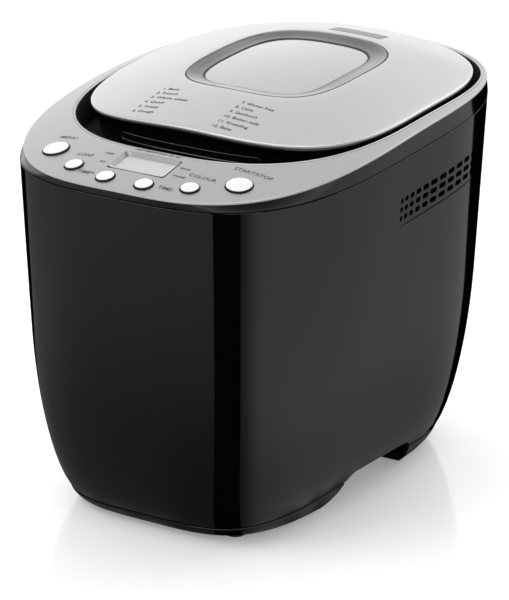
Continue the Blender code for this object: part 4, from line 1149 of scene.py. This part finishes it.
class BREAD_OT_chamber(bpy.types.Operator):
    """Model the baking chamber and its heating element"""
    bl_idname = "bread.chamber"
    bl_label = "Chamber"

    def execute(self, context):
        finish = surfaces()
        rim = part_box("oven_chamber")[1].z / MM
        floor = grown(CHAMBER_EDGE, -3 * MM)
        rings = stacked(floor, (-40, 47), (-5, 47), (-1, 48), (1, 52))
        rings.append((mixed(floor, CHAMBER_EDGE, 0.5), 0.144))
        rings += stacked(CHAMBER_EDGE, (1, rim - 2.2), (2, rim - 1), (8, rim - 1), (8, rim),
                         (1.4, rim), (0.3, rim - 0.7), (0, rim - 2.2))
        rings += stacked(floor, (0, 52.5), (-1.4, 49.4), (-5, 48), (-40, 48))
        mesh = skin(rings, 144)
        bore = placed(plug(8.2, 40, 55), Matrix.Translation((0, DRIVE_Y, 0)))
        piece("chamber_sheet", carved(mesh, bore), finish["galvanised_sheet"],
              nodes=["oven_chamber"])
        loop = Outline(78.5 * MM, 97.5 * MM, 97.5 * MM, 4.5, 4.5, DRIVE_Y)
        terminal_x, z = 40 * MM, 0.074
        points = [outline_point(loop, math.tau * (step + 0.5) / 96) for step in range(96)]
        points = [p for p in points if p[1] > -40 * MM or abs(p[0]) > terminal_x + 12 * MM]
        points.sort(key=lambda p: math.atan2(p[0], DRIVE_Y - p[1]) % math.tau)
        inner_y = DRIVE_Y - loop.front
        path = [(terminal_x, -0.092, z), (terminal_x, inner_y - 3 * MM, z),
                (terminal_x + 1.0 * MM, inner_y - 0.8 * MM, z), (terminal_x + 3.2 * MM, inner_y, z)]
        path += [(x, y, z) for x, y in points]
        path += [(-x, y, height) for x, y, height in reversed(path[:4])]
        piece("heater_rod", swept(path, 3.1 * MM, 16), finish["bright_steel"],
              nodes=["heating_element"])
        return {"FINISHED"}


class BREAD_OT_pan(bpy.types.Operator):
    """Model the bread pan, its bail and the kneading paddle"""
    bl_idname = "bread.pan"
    bl_label = "Pan, bail and paddle"

    def execute(self, context):
        finish = surfaces()
        low, high = 62.0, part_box("bread_pan")[1].z / MM
        foot = grown(PAN_EDGE, -6 * MM)
        rings = stacked(foot, (-30, low), (-5, low), (-1.6, low + 1.6), (0, low + 6))
        rings += stacked(mixed(foot, PAN_EDGE, 0.5), (0, (low + high) / 2))
        rings += stacked(PAN_EDGE, (0, high - 4.4), (0.8, high - 3.4), (2.4, high - 3),
                         (3, high - 2.2), (3, high - 0.8), (2.2, high), (-0.8, high),
                         (-1.6, high - 0.8))
        rings += stacked(foot, (-1.6, low + 7), (-3.4, low + 3.2), (-7, low + 2), (-30, low + 2))
        mesh = skin(rings, 144)
        bore = placed(plug(7.6, 55, 70), Matrix.Translation((0, DRIVE_Y, 0)))
        reach = PAN_EDGE.front / MM + 8
        pivots = placed(plug(3.3, -reach, reach, 24), Matrix.Translation((0, DRIVE_Y, PIVOT_Z))
                        @ Matrix.Rotation(math.radians(90), 4, "X"))
        mesh = carved(carved(mesh, bore), pivots)
        piece("pan_body", mesh, finish["non_stick_coating"], "pan", ["bread_pan"])
        self.bail(finish)
        self.paddle(finish)
        return {"FINISHED"}

    def bail(self, finish):
        corner, reach, arm_y, end_y = 15 * MM, 60 * MM, 94.5 * MM, 83 * MM
        lean = math.radians(17)
        half = [(0.0, end_y), (0.0, arm_y - 3 * MM), (0.6 * MM, arm_y - 0.8 * MM), (3 * MM, arm_y)]
        for step in range(9):
            angle = math.radians(90 * step / 8)
            half.append((reach - corner + corner * math.sin(angle),
                         arm_y - corner + corner * math.cos(angle)))
        flat = half + [(out, -along) for out, along in reversed(half)]
        path = [(out * math.cos(lean), DRIVE_Y + along, PIVOT_Z + out * math.sin(lean))
                for out, along in flat]
        piece("bail_rod", swept(path, 2.7 * MM, 16), finish["bright_steel"], "bail",
              ["pan_handle"])

    def paddle(self, finish):
        seat = Matrix.Translation((0, DRIVE_Y, 0))
        hub = turned([(4.4, 71.5), (8.4, 71.5), (9, 72.2), (8.1, 94.2), (7.4, 95), (4.4, 95)],
                     closed=True)
        blade = [(6.0, 73.5), (30, 73.5), (42, 74.6), (47, 76.0), (48.2, 80.0), (47, 86), (45, 92),
                 (42, 98.5), (38, 104), (34, 107), (30, 108), (25, 108.2), (20, 107), (15, 103),
                 (10, 98), (6.0, 92)]
        flat = prism([(x * MM, z * MM) for x, z in blade], -1.9 * MM, 1.9 * MM)
        rims = [edge for edge in flat.edges
                if abs(edge.verts[0].co.x - edge.verts[1].co.x) < WELD]
        soften(flat, rims, 0.6 * MM, 2)
        flat = placed(flat, seat @ Matrix.Rotation(math.radians(-90), 4, "Z"))
        mesh = carved(placed(hub, seat), flat, "UNION")
        piece("paddle_blade", mesh, finish["non_stick_coating"], "paddle", ["kneading_paddle"])


class BREAD_OT_fittings(bpy.types.Operator):
    """Give the solid parts that stay, inside the machine, their own finishes"""
    bl_idname = "bread.fittings"
    bl_label = "Inner fittings"

    def execute(self, context):
        finish = surfaces()
        for surface, names in CAD_FINISHES.items():
            for node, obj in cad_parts.items():
                if node.startswith(names):
                    for slot in obj.material_slots:
                        slot.material = finish[surface]
        return {"FINISHED"}


# ---------------------------------------------------------------- studio

# Reflection cards just under the floor, which the gloss sees through the floor: bearings from
# -Y towards +X, in degrees about CARD_APEX, then the brightness of each, the share of it that is
# left beside the machine, and how far out it is whole.
CARD_APEX = (0.041, -0.088)
STUDIO_CARDS = (
    ("front_card", -103.0, 12.2, 0.44, 0.22, 0.42),
    ("dark_card", 12.2, 39.8, 0.0, 1.0, 0.40),
    ("side_card", 39.8, 169.0, 0.66, 0.50, 0.22),
    ("rear_card", 169.0, 257.0, 0.0, 1.0, 0.40),
)
CARD_Z = -1.5 * MM
CARD_REACH = 1.5
CARD_END = 7.5
CARD_RINGS = 60
FLOOR_HALF = 8.0
FLOOR_GLOW = 0.25
FLOOR_SPECULAR = 0.35

# Soft round lights: place, aim, diameter and power.
STUDIO_LIGHTS = {
    "key_light": ((-0.9, -1.3, 2.2), (0, 0, 0.1), 1.6, 16.0),
    "top_light": ((0, 0, 2.4), (0, 0, 0), 1.8, 18.0),
    "rear_light": ((0.6, 1.8, 1.7), (0, 0, 0.2), 1.8, 14.0),
}

# The studio's surround grows brighter along this direction, from this level.
SKY_LEAN = (-0.40, 0.18, -1.15)
SKY_LEVEL = 1.40

CAMERA_LENS = 227.3
CAMERA_PLACE = (1.3284, -2.0894, 0.9818)
CAMERA_AXES = ((0.84183, -0.18382, 0.50748), (0.53968, 0.27173, -0.79681),
               (0.00857, 0.94466, 0.32795))


def card_glow(name, x, y, brightness, near_share, fade):
    """Brightness of a card at a place: dim beside the machine, full further out, and as bright
    as the floor past the card's reach."""
    plan = ((abs(x) / 0.10) ** 4 + (abs(y) / 0.145) ** 4) ** 0.25
    away = 0.12 * (plan - 1.0)
    bearing = math.degrees(math.atan2(x - CARD_APEX[0], CARD_APEX[1] - y))
    if name == "front_card":
        near_share += 0.22 * (1.0 - smooth(bearing, -60.0, -8.0))
    level = brightness * (near_share + (1.0 - near_share) * smooth(away, -0.03, fade))
    level *= 0.12 + 0.88 * smooth(away, -0.018, -0.003)
    if name == "side_card":
        level *= 0.24 + 0.76 * smooth(bearing % 360, 38.0, 66.0)
        level *= 1.28 - 0.64 * smooth(bearing % 360, 80.0, 160.0)
    elif name == "front_card":
        level *= 0.5 + 0.5 * smooth(bearing, -102.0, -55.0)
    reach = math.hypot(x - CARD_APEX[0], y - CARD_APEX[1])
    return level + (1.0 - level) * smooth(reach, CARD_REACH, CARD_REACH + 0.1)


def card_material():
    surface = bpy.data.materials.new("card_glow")
    surface.use_nodes = True
    nodes, links = surface.node_tree.nodes, surface.node_tree.links
    shader = nodes["Principled BSDF"]
    shader.inputs["Base Color"].default_value = (0, 0, 0, 1)
    shader.inputs["Roughness"].default_value = 1.0
    shader.inputs["Specular IOR Level"].default_value = 0.0
    shader.inputs["Emission Strength"].default_value = 1.0
    glow = nodes.new("ShaderNodeAttribute")
    glow.attribute_name = "glow"
    links.new(glow.outputs["Color"], shader.inputs["Emission Color"])
    return surface


class BREAD_OT_stage(bpy.types.Operator):
    """Set the floor, the lights and the camera"""
    bl_idname = "bread.stage"
    bl_label = "Studio"

    def execute(self, context):
        scene = context.scene
        self.floor(scene.bread_finishes)
        glow = card_material()
        for name, start, end, *fall in STUDIO_CARDS:
            self.card(name, start, end, fall, glow)
        for name, values in STUDIO_LIGHTS.items():
            self.light(name, *values)
        self.surround(scene)
        scene.view_settings.view_transform = "Standard"
        self.camera(scene)
        return {"FINISHED"}

    def floor(self, colours):
        mesh = bmesh.new()
        bmesh.ops.create_grid(mesh, x_segments=4, y_segments=4, size=FLOOR_HALF)
        floor = loose_object("studio_floor", mesh)
        surface = finish_material("studio_floor", Finish(tuple(colours.floor), 0.07,
                                                         grain_scale=60.0, grain=0.04))
        shader = surface.node_tree.nodes["Principled BSDF"]
        shader.inputs["Specular IOR Level"].default_value = FLOOR_SPECULAR
        shader.inputs["Emission Color"].default_value = (1, 1, 1, 1)
        shader.inputs["Emission Strength"].default_value = FLOOR_GLOW
        floor.data.materials.append(surface)
        floor.visible_glossy = False

    def card(self, name, start, end, fall, glow):
        """A flat sector about CARD_APEX, whose corners hold its brightness."""
        mesh = bmesh.new()
        heading = math.radians(start)
        reaches = [0.01 + (CARD_END - 0.01) * (step / CARD_RINGS) ** 2
                   for step in range(CARD_RINGS + 1)]
        verts = [mesh.verts.new((CARD_APEX[0] + reach * math.sin(heading),
                                 CARD_APEX[1] - reach * math.cos(heading), CARD_Z))
                 for reach in reaches]
        edges = [mesh.edges.new(pair) for pair in zip(verts, verts[1:])]
        bmesh.ops.spin(mesh, geom=verts + edges, cent=(*CARD_APEX, 0), axis=(0, 0, 1),
                       angle=math.radians(end - start), steps=48, use_merge=False,
                       use_duplicate=False)
        layer = mesh.verts.layers.float_color.new("glow")
        for vert in mesh.verts:
            level = card_glow(name, vert.co.x, vert.co.y, *fall)
            vert[layer] = (level, level, level, 1.0)
        obj = loose_object(name, mesh)
        obj.data.materials.append(glow)
        obj.visible_camera = False
        obj.visible_diffuse = False
        obj.visible_shadow = False
        obj.visible_transmission = False

    def light(self, name, place, target, size, energy):
        data = bpy.data.lights.new(name, "AREA")
        data.shape = "DISK"
        data.size = size
        data.energy = energy
        obj = bpy.data.objects.new(name, data)
        obj.location = place
        aim = Vector(target) - Vector(place)
        obj.rotation_euler = aim.to_track_quat("-Z", "Y").to_euler()
        bpy.context.scene.collection.objects.link(obj)

    def surround(self, scene):
        world = bpy.data.worlds.new("studio_world")
        world.use_nodes = True
        nodes, links = world.node_tree.nodes, world.node_tree.links
        heading = nodes.new("ShaderNodeTexCoord")
        lean = nodes.new("ShaderNodeVectorMath")
        lean.operation = "DOT_PRODUCT"
        lean.inputs[1].default_value = SKY_LEAN
        level = math_node(nodes, "ADD", second=SKY_LEVEL)
        links.new(heading.outputs["Generated"], lean.inputs[0])
        links.new(lean.outputs["Value"], level.inputs[0])
        links.new(level.outputs[0], nodes["Background"].inputs["Color"])
        scene.world = world

    def camera(self, scene):
        data = bpy.data.cameras.new("studio_camera")
        data.lens = CAMERA_LENS
        data.sensor_width = 36.0
        data.clip_start = 0.05
        obj = bpy.data.objects.new("studio_camera", data)
        obj.matrix_world = Matrix.Translation(CAMERA_PLACE) @ Matrix(CAMERA_AXES).to_4x4()
        scene.collection.objects.link(obj)
        scene.camera = obj


# ---------------------------------------------------------------- add-on

OPERATORS = (BREAD_OT_tub, BREAD_OT_base, BREAD_OT_deck, BREAD_OT_panel, BREAD_OT_lid,
             BREAD_OT_chamber, BREAD_OT_pan, BREAD_OT_fittings, BREAD_OT_stage)
SETTINGS = {"bread_tub": TubSizes, "bread_panel": PanelSizes, "bread_lid": LidSizes,
            "bread_finishes": Finishes}


class BREAD_PT_machine(bpy.types.Panel):
    """Sizes, colours and steps of the bread machine"""
    bl_idname = "BREAD_PT_machine"
    bl_label = "Bread Machine"
    bl_space_type = "VIEW_3D"
    bl_region_type = "UI"
    bl_category = "Bread Machine"

    def draw(self, context):
        layout = self.layout
        for name, group in SETTINGS.items():
            box = layout.box()
            for field in group.__annotations__:
                box.prop(getattr(context.scene, name), field)
        for operator in OPERATORS:
            layout.operator(operator.bl_idname)


def register():
    for cls in (*SETTINGS.values(), *OPERATORS, BREAD_PT_machine):
        bpy.utils.register_class(cls)
    for name, group in SETTINGS.items():
        setattr(bpy.types.Scene, name, PointerProperty(type=group))


def unregister():
    for name in SETTINGS:
        delattr(bpy.types.Scene, name)
    for cls in reversed((*SETTINGS.values(), *OPERATORS, BREAD_PT_machine)):
        bpy.utils.unregister_class(cls)


def main():
    register()
    bpy.ops.bread.stage()
    bpy.ops.bread.tub()
    bpy.ops.bread.base()
    bpy.ops.bread.deck()
    bpy.ops.bread.panel()
    bpy.ops.bread.lid()
    bpy.ops.bread.chamber()
    bpy.ops.bread.pan()
    bpy.ops.bread.fittings()


if __name__ == "__main__":
    main()
